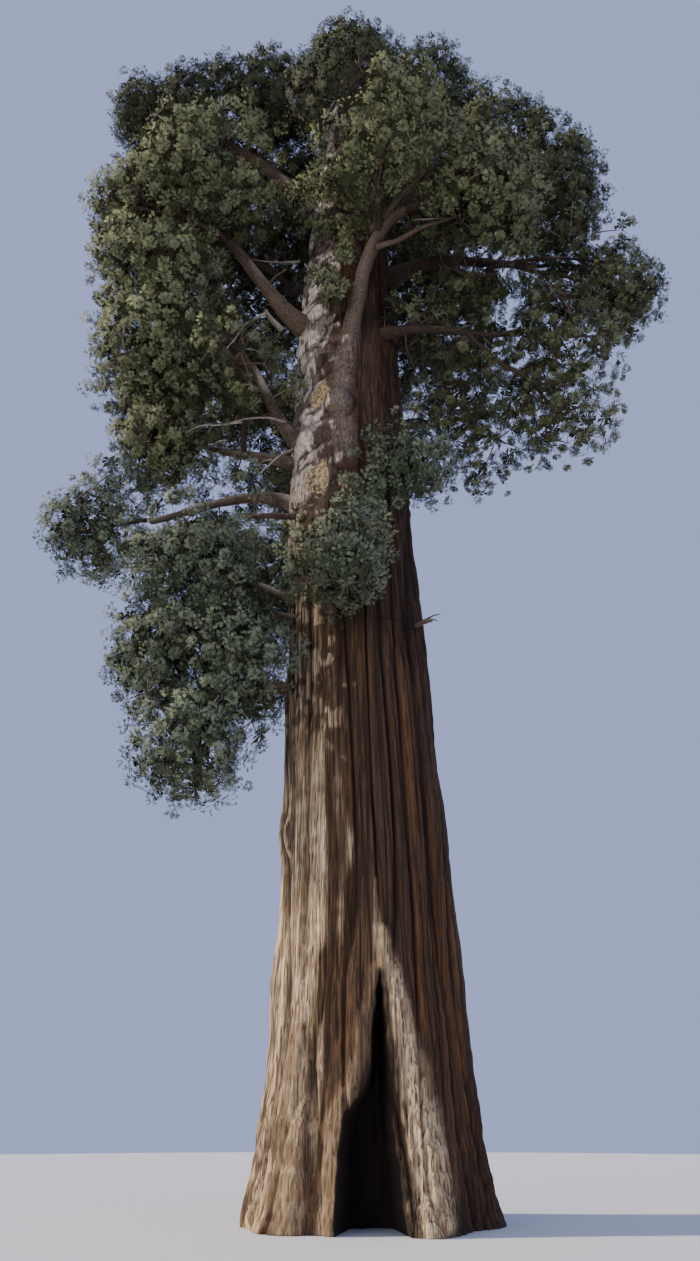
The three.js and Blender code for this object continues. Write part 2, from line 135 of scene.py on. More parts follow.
# Flat worn patches where the outer bark is gone: turn, height, half width, half height.
worn = [(240, 19.0, 0.34, 0.42), (239, 16.2, 0.38, 0.56)]

# Round burls, each in a crease painted dark as shade: turn, height, half width, half height, stand.
burls = [(262, 18.55, 0.36, 0.4, 0.2), (300, 14.5, 0.2, 0.2, 0.08)]

# How the patches, burls and swellings meet the bark. A crease is: where it lies, width, depth.
wounds = {
    "wornRagged": 0.35,
    "wornEdge": (0.7, 0.35),
    "wornFlat": 0.6,  # how far relief and furrows fade there
    "wornClean": 0.8,
    "swellingSway": 0.06,
    "burlRagged": 0.12,
    "burlRound": 0.7,
    "burlCrease": (1.1, 0.17, 0.06),
    "burlClean": 0.7,
}

# Swellings of the trunk: turn, height, half width, half height, stand. Those that stand in are grooves,
# painted dark as shade.
swellings = [
    (201, 7.1, 0.22, 0.4, 0.15),
    (248, 10.7, 0.2, 0.25, 0.1),
    (182, 7.3, 0.35, 0.6, 0.12),
    (182, 4.2, 0.3, 0.7, 0.1),
    (220, 17.65, 0.4, 0.35, 0.18),
    (312, 18.3, 0.35, 0.4, 0.12),
    (252, 19.9, 0.5, 0.25, 0.1),
    (250, 18.15, 0.5, 0.06, -0.13),
    (250, 17.35, 0.45, 0.05, -0.12),
    (243, 24.3, 0.7, 0.14, 0.13),
    (246, 23.85, 0.6, 0.07, -0.12),
    (235, 22.6, 0.5, 0.2, 0.12),
    (238, 21.2, 0.6, 0.07, -0.12),
    (236, 20.4, 0.35, 0.3, 0.12),
    (226, 15.0, 0.4, 0.3, 0.12),
]

# The bark: long furrows between strips, in metres.
bark = {
    # width, length, softness, seed, depth, share of the furrow colour, a dark that is partly the bark's own
    # and partly painted shade
    "furrows": [
        (0.36, 9.0, 0.24, 0.3, 0.09, 1.0),
        (0.11, 4.2, 0.3, 5.9, 0.035, 0.75),
        (0.055, 1.8, 0.42, 7.1, 0.018, 0.6),
    ],
    "ridge": 0.3,  # how far the strips stand out, as a share of the furrow's depth
    "stray": 0.05,
    "lumpDeep": 0.05,
    "rippleDeep": (0.014, 0.032, 0.016),  # everywhere, more of it above, more of it at the foot
    "rippleAbove": (14, 3),  # from this height, over this far
    "rippleFoot": 2,
    "creases": (0.9, 0.34, 0.16, 5.3),  # width, height, softness, seed
    "creaseDeep": 0.05,
    # the creases painted dark as shade
    "creaseDark": 0.9,
    "plateDeep": 0.05,
    "paintedShadow": (0.55, -0.1, 0.4),  # how dark the painted shadow patches there are, where they begin, over how far
    "calm": 0.75,  # how far the long furrows fade on the sunward side above
    "calmAbove": (12.5, 4),
    "calmSide": (-0.15, 0.5),
    "fullRadius": 1.4,  # where the trunk is thinner the relief is less
}

# Pale bark on the side towards the sun: painted sunlight, dappled above and broad at the foot, over some
# weathered paleness. A side is 1 towards the sun and -1 away from it.
# A pair is where a share begins and over how far it grows.
sunAndWeather = {
    "sun": (-0.97, -0.26),  # X and Y of the way to the sun
    "above": (7.5, 3.5),
    # painted dappled sunlight on the upper trunk
    "patchShares": (1.05, 0.84),  # large and small patches
    "patchSide": 0.82,
    "patchWider": 0.16,
    "patchWiderAbove": (13, 3),
    "patchTurn": 2.2,
    "patchSoft": 0.18,
    "patchLimit": (0.1, 0.3),
    # a paler tone over the sunward side above, painted sunlight
    "grey": 0.2,
    "greySide": (0.3, 0.5),
    # painted sunlight over the sunward side of the foot
    "footSide": 0.68,
    "footWider": 0.18,
    "footWiderAbove": (2, 6),
    "footRagged": 0.26,
    "footSoft": 0.2,
    "footShares": (0.76, 0.3, 0.6, 0.4),  # all over, in bands, in streaks, in fibres
    "footPale": 0.9,
    "furrowShade": 0.85,
    "warmSpread": 1.6,
    "warmFrom": 0.25,
    "warmLess": 0.6,  # how far the warm strips fade above and towards the sun
    "warmSide": (-0.1, 0.3),
    # the painted sunlit patches whiter above this height
    "bleach": 0.8,
    "bleachAbove": (14, 4),
}

# Smooth fields over the bark, from -1 to 1: width, height, seed.
fields = {
    "strayX": (1.1, 4.5, 3.1),
    "strayY": (1.1, 4.5, 8.4),
    "lump": (0.7, 1.5, 2.2),
    "ripple": (0.7, 0.2, 4.9),
    "plate": (0.4, 0.3, 1.2),
    "paintedShadow": (0.6, 0.5, 2.6),
    "wornEdge": (0.22, 0.22, 6.1),
    "wobble": (0.2, 0.35, 1.7),
    "raggedX": (0.12, 0.2, 5.1),
    "raggedZ": (0.3, 0.3, 3.6),
    "hollowBack": (0.15, 0.5, 6.6),
    "patch": (0.32, 0.3, 9.1),
    "smallPatch": (0.12, 0.17, 4.4),
    "footEdge": (0.18, 1.3, 4.1),
    "footBand": (0.5, 0.16, 3.7),
    "footStreak": (0.2, 3.0, 8.8),
    "footFibre": (0.08, 1.3, 2.3),
    "warm": (0.24, 5.0, 7.7),
    "limbKnot": (0.3, 0.5, 2),
    "limbPatch": (0.25, 0.8, 5),
}


def linear(hexColour):
    values = [int(hexColour[i:i + 2], 16) / 255 for i in (1, 3, 5)]
    return [v / 12.92 if v <= 0.04045 else ((v + 0.055) / 1.055) ** 2.4 for v in values] + [1]


def addNode(tree, kind, values=(), links=(), **settings):
    made = tree.nodes.new(kind)
    for name, value in settings.items():
        setattr(made, name, value)
    for name, value in dict(values).items():
        made.inputs[name].default_value = value
    for name, source in dict(links).items():
        tree.links.new(source, made.inputs[name])
    return made


def newMaterial(name, colour, roughness):
    material = bpy.data.materials.new(name)
    material.use_nodes = True
    inputs = material.node_tree.nodes["Principled BSDF"].inputs
    inputs["Base Color"].default_value = linear(colour)
    inputs["Roughness"].default_value = roughness
    inputs["Specular IOR Level"].default_value = 0.25
    return material


# Repeatable numbers from 0 to 1, as the source has them.
def chance(seed):
    wide = np.sin(np.asarray(seed, float) * 12.9898) * 43758.5453
    return wide - np.floor(wide)


# One such number for each of a row of things.
def rollsOf(count, seed, step):
    return chance(seed + np.arange(count) * step)


# A smooth field from -1 to 1 over rows of points.
def waver(points, seed=0.0):
    base = np.floor(points)
    part = points - base
    part = part * part * (3 - 2 * part)
    total = np.zeros(len(points))
    for corner in np.ndindex(2, 2, 2):
        weight = np.where(np.array(corner) == 1, part, 1 - part).prod(axis=1)
        total += weight * chance((base + corner) @ np.array([1.0, 5.7, 11.3]) + seed)
    return total * 2 - 1


def smooth(values):
    share = np.clip(values, 0, 1)
    return share * share * (3 - 2 * share)


# A share that grows from 0 at the start to 1 at the end of a stretch.
def ramp(values, start, stretch):
    return smooth((values - start) / stretch)


def fieldOf(name, points, more=0):
    wide, tall, seed = fields[name]
    return waver(points / (wide, wide, tall), seed + more)


# Furrows where a stretched field changes sign: 1 at their middle.
def furrowsIn(points, wide, tall, soft, seed):
    return 1 - smooth(np.abs(waver(points / (wide, wide, tall), seed)) / soft)


def lengthOf(rows):
    return np.linalg.norm(rows, axis=-1)


def unit(rows):
    rows = np.asarray(rows, float)
    return rows / lengthOf(rows)[..., None]


def joined(*parts):
    return np.concatenate(parts)


def kept(wanted, *rows):
    return [row[wanted] for row in rows]


def leanAt(height):
    return trunk["leanX"] * ramp(height, trunk["leanFrom"], trunk["leanTo"] - trunk["leanFrom"])


def trunkRadius(height):
    shaft = trunk["footRadius"] - trunk["taper"] * np.minimum(height, trunk["crownHeight"])
    above = np.maximum(0, height - trunk["crownHeight"])
    share = np.minimum(1, above / (trunk["height"] - trunk["crownHeight"]))
    flare = trunk["flare"] * np.exp(-height / trunk["flareHeight"])
    return trunk["tipRadius"] + (shaft - trunk["tipRadius"]) * (1 - share ** trunk["topPower"]) + flare


def flute(angle, height):
    fade = np.exp(-height / trunk["buttressHeight"])
    count, depth, wander, wanderHeight = trunk["grooves"]
    total = 1 + depth * np.cos(count * angle + wander * np.sin(height / wanderHeight))
    for count, turn, depth in trunk["buttresses"]:
        total = total + fade * depth * np.cos(count * angle + turn)
    return total


# Distance from rows of X and Z to a line of points, and how far along it.
def distanceTo(line, flat):
    best = np.full(len(flat), 1e9)
    along = np.zeros(len(flat))
    passed = 0.0
    for (ax, az), (bx, bz) in zip(line, line[1:]):
        edge = np.array([bx - ax, bz - az])
        length = np.hypot(*edge)
        offset = flat - (ax, az)
        share = np.clip(offset @ edge / length ** 2, 0, 1)
        away = np.hypot(*(offset - share[:, None] * edge).T)
        closer = away < best
        best = np.where(closer, away, best)
        along = np.where(closer, passed + share * length, along)
        passed += length
    return best, along


def isInside(loop, flat):
    inside = np.zeros(len(flat), bool)
    for (ax, az), (bx, bz) in zip(loop, loop[1:] + loop[:1]):
        if az == bz:
            continue
        crosses = (flat[:, 1] < az) != (flat[:, 1] < bz)
        at = ax + (flat[:, 1] - az) * (bx - ax) / (bz - az)
        inside ^= crosses & (flat[:, 0] < at)
    return inside


def addObject(name, data):
    made = bpy.data.objects.new(name, data)
    bpy.context.scene.collection.objects.link(made)
    return made


def finishMesh(name, bm, material):
    mesh = bpy.data.meshes.new(name)
    bm.to_mesh(mesh)
    bm.free()
    mesh.materials.append(material)
    mesh.polygons.foreach_set("use_smooth", [True] * len(mesh.polygons))
    return addObject(name, mesh)


def place(piece, slot, *nodes):
    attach(piece, root)
    if nodes:
        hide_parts(*nodes)


# A flat grid to wrap round a trunk or limb, with its rows of shares round and along.
def newGrid(sides, steps):
    bm = bmesh.new()
    bmesh.ops.create_grid(bm, x_segments=sides, y_segments=steps, size=0.5)
    return bm, np.array([v.co for v in bm.verts]) + (0.5, 0.5, 0)


# Wraps the grid: moves it to its points, keeps the fields that the bark's material reads, and
# closes its seam and its ends.
def wrapUp(name, bm, points, fieldsKept, material):
    layers = {key: bm.verts.layers.float.new(key) for key in fieldsKept}
    for k, vert in enumerate(bm.verts):
        vert.co = points[k]
        for key, layer in layers.items():
            vert[layer] = fieldsKept[key][k]
    bmesh.ops.remove_doubles(bm, verts=[v for v in bm.verts if v.is_boundary], dist=1e-5)
    bmesh.ops.holes_fill(bm, edges=[e for e in bm.edges if e.is_boundary], sides=0)
    bmesh.ops.recalc_face_normals(bm, faces=bm.faces)
    return finishMesh(name, bm, material)


# The trunk's skin: rows for the grid's points, from which relief and colour are worked out.
def layOutSkin(grid, low, high, power):
    turn = 2 * np.pi * grid[:, 0]
    angle = np.pi / 2 + turn + trunk["frontShare"] * np.sin(turn)
    z = low + (high - low) * grid[:, 1] ** power
    radius = trunkRadius(z)
    outward = np.stack([np.cos(angle), np.sin(angle), 0 * z], axis=1)
    body = outward * radius[:, None]
    body[:, 2] = z
    stray = [fieldOf(name, body) for name in ("strayX", "strayY")]
    sunX, sunY = sunAndWeather["sun"]
    facing = sunX * outward[:, 0] + sunY * outward[:, 1]
    return SimpleNamespace(
        angle=angle, z=z, radius=radius, outward=outward, body=body, stray=stray, facing=facing,
        bend=body + bark["stray"] * np.stack([*stray, 0 * z], axis=1),
        calm=ramp(z, *bark["calmAbove"]) * ramp(facing, *bark["calmSide"]),
    )


def growBark(skin):
    z, calm = skin.z, skin.calm
    relief = bark["lumpDeep"] * fieldOf("lump", skin.body)
    everywhere, above, foot = bark["rippleDeep"]
    deep = everywhere + above * ramp(z, *bark["rippleAbove"]) + foot * np.exp(-z / bark["rippleFoot"])
    relief += deep * fieldOf("ripple", skin.body)
    furrow = 0 * z
    for *form, deep, dark in bark["furrows"]:
        inFurrow = furrowsIn(skin.bend, *form)
        relief += deep * (bark["ridge"] - inFurrow) * (1 - bark["calm"] * calm)
        furrow = np.maximum(furrow, dark * inFurrow * (1 - bark["calm"] * calm))
    # the sunward side above has plates between cross creases in place of long furrows, the creases painted
    # dark as shade
    crease = calm * furrowsIn(skin.bend, *bark["creases"])
    relief += calm * bark["plateDeep"] * fieldOf("plate", skin.body) - bark["creaseDeep"] * crease
    # painted shadow of the foliage: dark patches on the sunward side above
    dark, *paintedShadowRange = bark["paintedShadow"]
    paintedShadow = dark * calm * ramp(fieldOf("paintedShadow", skin.body), *paintedShadowRange)
    skin.furrow = np.maximum.reduce([furrow, bark["creaseDark"] * crease, paintedShadow])
    skin.relief = relief * np.minimum(1, skin.radius / bark["fullRadius"])


# How far across and up from a place on the trunk, in half widths and half heights.
def awayFrom(skin, turn, height, wide, tall):
    across = np.angle(np.exp(1j * (skin.angle - math.radians(turn)))) * skin.radius / wide
    return across, (skin.z - height) / tall


def addWounds(skin):
    skin.worn = 0 * skin.z
    for row in worn:
        across, up = awayFrom(skin, *row)
        edge = across ** 2 + up ** 2 + wounds["wornRagged"] * fieldOf("wornEdge", skin.body)
        skin.worn = np.maximum(skin.worn, 1 - ramp(edge, *wounds["wornEdge"]))
    skin.relief *= 1 - wounds["wornFlat"] * skin.worn
    skin.furrow *= 1 - wounds["wornClean"] * skin.worn
    for *row, stand in swellings:
        across, up = awayFrom(skin, *row)
        near = np.exp(-across ** 2 - (up + wounds["swellingSway"] * skin.stray[0] / row[3]) ** 2)
        skin.relief += stand * near
        # grooves painted dark as shade
        if stand < 0:
            skin.furrow = np.maximum(skin.furrow, bark["creaseDark"] * near)
    rim, wide, deep = wounds["burlCrease"]
    for *row, stand in burls:
        away = np.hypot(*awayFrom(skin, *row)) + wounds["burlRagged"] * skin.stray[1]
        crease = np.exp(-((away - rim) / wide) ** 2)
        skin.relief += stand * smooth((rim - away) / wounds["burlRound"]) - deep * crease
        skin.furrow *= 1 - wounds["burlClean"] * (away < 1)
        # the burl's crease painted dark as shade
        skin.furrow = np.maximum(skin.furrow, bark["creaseDark"] * crease)


def addRolls(skin):
    flat = skin.points[:, [0, 2]]
    skin.pale = 0 * skin.z
    byWobble, byStray = rollLooks["wrinkleBend"]
    even, byWave = rollLooks["paleWave"]
    sharp, less, ragged = rollLooks["paleEdge"]
    for roll in rolls:
        away, along = distanceTo(roll["line"], flat)
        heights = [z for _, z in roll["line"]]
        share = np.clip((skin.z - min(heights)) / (max(heights) - min(heights)), 0, 1)
        wide, stand = [foot + (top - foot) * share for top, foot in (roll["width"], roll["stand"])]
        near = np.where(skin.isFront, np.exp(-((away + skin.wobble) / wide) ** 2), 0)
        bent = along + byWobble * skin.wobble + byStray * skin.stray[1]
        wave = np.cos(bent * 2 * np.pi / roll["wrinkle"])
        skin.points[:, 1] -= stand * near * (1 + rollLooks["wrinkleDeep"] * wave)
        skin.furrow *= 1 - rollLooks["clean"] * near
        # pale share, partly painted sunlight on the rolls that face the sun
        pale = roll["pale"] * (even + byWave * wave)
        skin.pale = np.maximum(skin.pale, pale * smooth(near * sharp - less + ragged * skin.wobble))


# Draws the bark inside the hollow's edge in to its back, and chars it.
def hollowOut(skin):
    points = skin.points
    ragged = np.stack([fieldOf("raggedX", points), fieldOf("raggedZ", points)], axis=1)
    flat = points[:, [0, 2]] + hollow["ragged"] * ragged
    away, _ = distanceTo(hollow["edge"], flat)
    inside = isInside(hollow["edge"], flat) & skin.isFront
    depth = np.where(inside, smooth(away / hollow["wall"]) ** 0.5, 0)
    points[:, 0] += (hollow["middle"] - points[:, 0]) * hollow["narrowing"] * depth
    points[:, 1] += (hollow["backY"] - points[:, 1]) * depth
    points[:, 1] += np.where(depth > 0.5, hollow["backRough"] * fieldOf("hollowBack", points), 0)
    scorched = 1 - smooth((away + skin.wobble) / hollow["scorch"])
    skin.char = np.where(inside, 1, np.where(skin.isFront, scorched, 0))


# Painted sunlight on the bark: pale patches on the side towards the sun, small dappled ones above and broad
# ones at the foot, over some weathered paleness, and warm strips.
def sunlightAndWeatherOnBark(skin):
    z, facing, body, bend = skin.z, skin.facing, skin.body, skin.bend
    above = ramp(z, *sunAndWeather["above"])
    large, small = sunAndWeather["patchShares"]
    # painted dappled sunlight: pale patches on the sunward side above
    patches = large * fieldOf("patch", body) + small * fieldOf("smallPatch", body)
    side = facing - sunAndWeather["patchSide"] + sunAndWeather["patchWider"] * ramp(z, *sunAndWeather["patchWiderAbove"])
    high = above * smooth((patches + sunAndWeather["patchTurn"] * side) / sunAndWeather["patchSoft"])
    high *= ramp(facing, *sunAndWeather["patchLimit"])
    # painted sunlight: paler over all the sunward side above
    grey = sunAndWeather["grey"] * above * ramp(facing, *sunAndWeather["greySide"])
    # painted sunlight over the sunward side of the foot, broken into bands, streaks and fibres
    side = facing - sunAndWeather["footSide"] + sunAndWeather["footWider"] * ramp(z, *sunAndWeather["footWiderAbove"])
    side += sunAndWeather["footRagged"] * fieldOf("footEdge", bend)
    everywhere, bands, streaks, fibres = sunAndWeather["footShares"]
    foot = (1 - above) * smooth(side / sunAndWeather["footSoft"])
    foot *= everywhere + bands * fieldOf("footBand", body) + streaks * fieldOf("footStreak", bend)
    foot += fibres * foot * fieldOf("footFibre", bend)
    sunlitAndWeathered = np.maximum.reduce([high, grey, sunAndWeather["footPale"] * np.clip(foot, 0, 1)])
    skin.pale = np.maximum(skin.pale, sunlitAndWeathered) * (1 - skin.char)
    skin.pale *= (1 - sunAndWeather["furrowShade"] * skin.furrow) * (1 - skin.worn)
    skin.warm = smooth(fieldOf("warm", bend) * sunAndWeather["warmSpread"] - sunAndWeather["warmFrom"]) * (1 - skin.char)
    skin.warm *= 1 - sunAndWeather["warmLess"] * above
    skin.warm *= 1 - sunAndWeather["warmLess"] * ramp(facing, *sunAndWeather["warmSide"])
    # painted sunlight: the pale patches whiter higher up
    skin.bleach = sunAndWeather["bleach"] * ramp(z, *sunAndWeather["bleachAbove"])


# What the bark's material reads from a mesh.
barkFields = ("furrow", "char", "pale", "warm", "worn", "bleach")


# One height of the trunk: a grid wrapped round it, with the bark's relief in it.
def trunkPiece(name, grid, low, high, power):
    bm, shares = newGrid(*grid)
    skin = layOutSkin(shares, low, high, power)
    growBark(skin)
    addWounds(skin)
    out = skin.radius * flute(skin.angle, skin.z) + skin.relief
    outX, outY, _ = skin.outward.T
    skin.points = np.stack([leanAt(skin.z) + outX * out, outY * out, skin.z], axis=1)
    skin.isFront = skin.points[:, 1] < hollow["frontY"]
    skin.wobble = hollow["wobble"] * fieldOf("wobble", skin.points)
    addRolls(skin)
    hollowOut(skin)
    sunlightAndWeatherOnBark(skin)
    piece = wrapUp(name, bm, skin.points, {key: getattr(skin, key) for key in barkFields}, barkMaterial)
    place(piece, "bark", "trunk")
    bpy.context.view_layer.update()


# How the bark's colours lie over each other: the result, the mask, the mask's range and top share,
# and the colours where the mask is low and high.
barkLayers = [
    ("skin", "fibre", (0.38, 0.62, 1), "fibreDark", "strip"),
    ("skin", "blotch", (0.45, 0.75, 0.6), "skin", "grey"),
    ("red", "fibre", (0.3, 0.7, 1), "strip", "orange"),
    ("skin", "warm", (0.1, 0.9, 0.65), "skin", "red"),
    ("silver", "fibre", (0.35, 0.62, 1), "paleDark", "pale"),
    ("silver", "blotch", (0.42, 0.62, 0.5), "silver", "tan"),
    # the white mix whitens the painted sunlit patches on the upper trunk
    ("white", "fibre", (0.35, 0.6, 1), "bleachedDark", "bleached"),
    ("silver", "bleach", None, "silver", "white"),
    # the pale mask is mostly painted sunlight
    ("skin", "pale", None, "skin", "silver"),
    ("wood", "grain", (0.4, 0.6, 1), "wornDark", "worn"),
    ("skin", "worn", None, "skin", "wood"),
    ("skin", "furrow", (0.15, 0.95, 0.88), "skin", "furrow"),
    ("skin", "char", None, "skin", "char"),
]


# Fibrous sequoia bark: red-brown strips over darker furrows, partly painted shade, pale on the side towards
# the sun as painted sunlight over some weathering, and matt black where fire has charred it.
def makeBark(name, looks):
    material = newMaterial(name, looks["strip"], 0.93)
    tree = material.node_tree
    shader = tree.nodes["Principled BSDF"]
    at = addNode(tree, "ShaderNodeTexCoord").outputs["Object"]
    stretched = addNode(
        tree, "ShaderNodeMapping", {"Scale": (1, 1, looks["stretch"])}, {"Vector": at},
    ).outputs["Vector"]
    masks = {
        key: addNode(
            tree, "ShaderNodeTexNoise",
            {"Scale": 1 / looks[key], "Detail": 3, "Roughness": rough}, {"Vector": space},
        ).outputs["Fac"]
        for key, rough, space in (("fibre", 0.6, stretched), ("blotch", 0.5, stretched), ("grain", 0.5, at))
    }
    for key in barkFields:
        masks[key] = addNode(tree, "ShaderNodeAttribute", attribute_name=key).outputs["Fac"]
    colours = {}
    for result, mask, spread, low, high in barkLayers:
        share = masks[mask]
        if spread:
            values = dict(zip(("From Min", "From Max", "To Max"), spread))
            share = addNode(tree, "ShaderNodeMapRange", values, {"Value": share}).outputs["Result"]
        blend = addNode(tree, "ShaderNodeMix", links={0: share}, data_type="RGBA")
        for socket, colour in zip(blend.inputs[6:8], (low, high)):
            if colour in colours:
                tree.links.new(colours[colour], socket)
            else:
                socket.default_value = linear(looks[colour])
        colours[result] = blend.outputs[2]
    tree.links.new(colours["skin"], shader.inputs["Base Color"])
    bump = addNode(
        tree, "ShaderNodeBump", {"Strength": 0.9, "Distance": looks["fibreDeep"]}, {"Height": masks["fibre"]},
    ).outputs["Normal"]
    tree.links.new(bump, shader.inputs["Normal"])
    return material


# Colours and real sizes of the bark, in metres. The fibres are drawn about twice as coarse
# as real ones, which would be too fine to show.
barkLooks = {
    "strip": "#5a412b",
    "fibreDark": "#332418",
    "grey": "#564636",
    "orange": "#875c35",
    # pale, paleDark and tan colour the pale patches, mostly painted sunlight
    "pale": "#f6dfb4",
    "paleDark": "#634326",
    "tan": "#a5835a",
    # bleached and bleachedDark colour the painted sunlit patches higher up
    "bleached": "#f4ecdc",
    "bleachedDark": "#8c7b66",
    "worn": "#c6b084",
    "wornDark": "#7c6442",
    # furrow: the dark of furrows and creases, partly the bark's own and partly painted shade
    "furrow": "#20150f",
    "char": "#2a211b",
    "grain": 0.09,
    "fibre": 0.035,
    "fibreDeep": 0.02,
    "stretch": 0.045,
    "blotch": 0.6,
}
barkMaterial = makeBark("furrowed sequoia bark", barkLooks)
# Limbs have greyer bark with shorter fibres. Their pale share is partly painted light, paler on top and in
# the lit zones.
limbLooks = dict(
    barkLooks, strip="#746350", fibreDark="#483b2e", grey="#7b6d5b", orange="#775e45", pale="#dccfb8",
    paleDark="#8d7d68", tan="#a39480", furrow="#2f2620", fibre=0.03, fibreDeep=0.012, stretch=0.5, blotch=0.5,
)
limbMaterial = makeBark("weathered sequoia limb bark", limbLooks)
# A darker copy of the limb bark, painted shade for the limbs deep in the crown.
shadedMaterial = makeBark("sequoia limb bark darkened as painted shade", dict(
    limbLooks, strip="#4f4032", fibreDark="#2f261d", grey="#574a3d", paleDark="#67594a", pale="#978a76",
    tan="#746757",
))
# Thin matt bark, and dead twigs that stand out pale.
twigMaterial = newMaterial("grey-brown twig bark", "#63503f", 0.9)
deadMaterial = newMaterial("bleached dead twigs", "#aea18d", 0.85)

trunkPiece("trunk_bark_low", trunk["lowGrid"], 0.0, trunk["splitAt"], trunk["footCrowd"])
trunkPiece("trunk_bark_high", trunk["highGrid"], trunk["splitAt"], trunk["height"], 1.0)

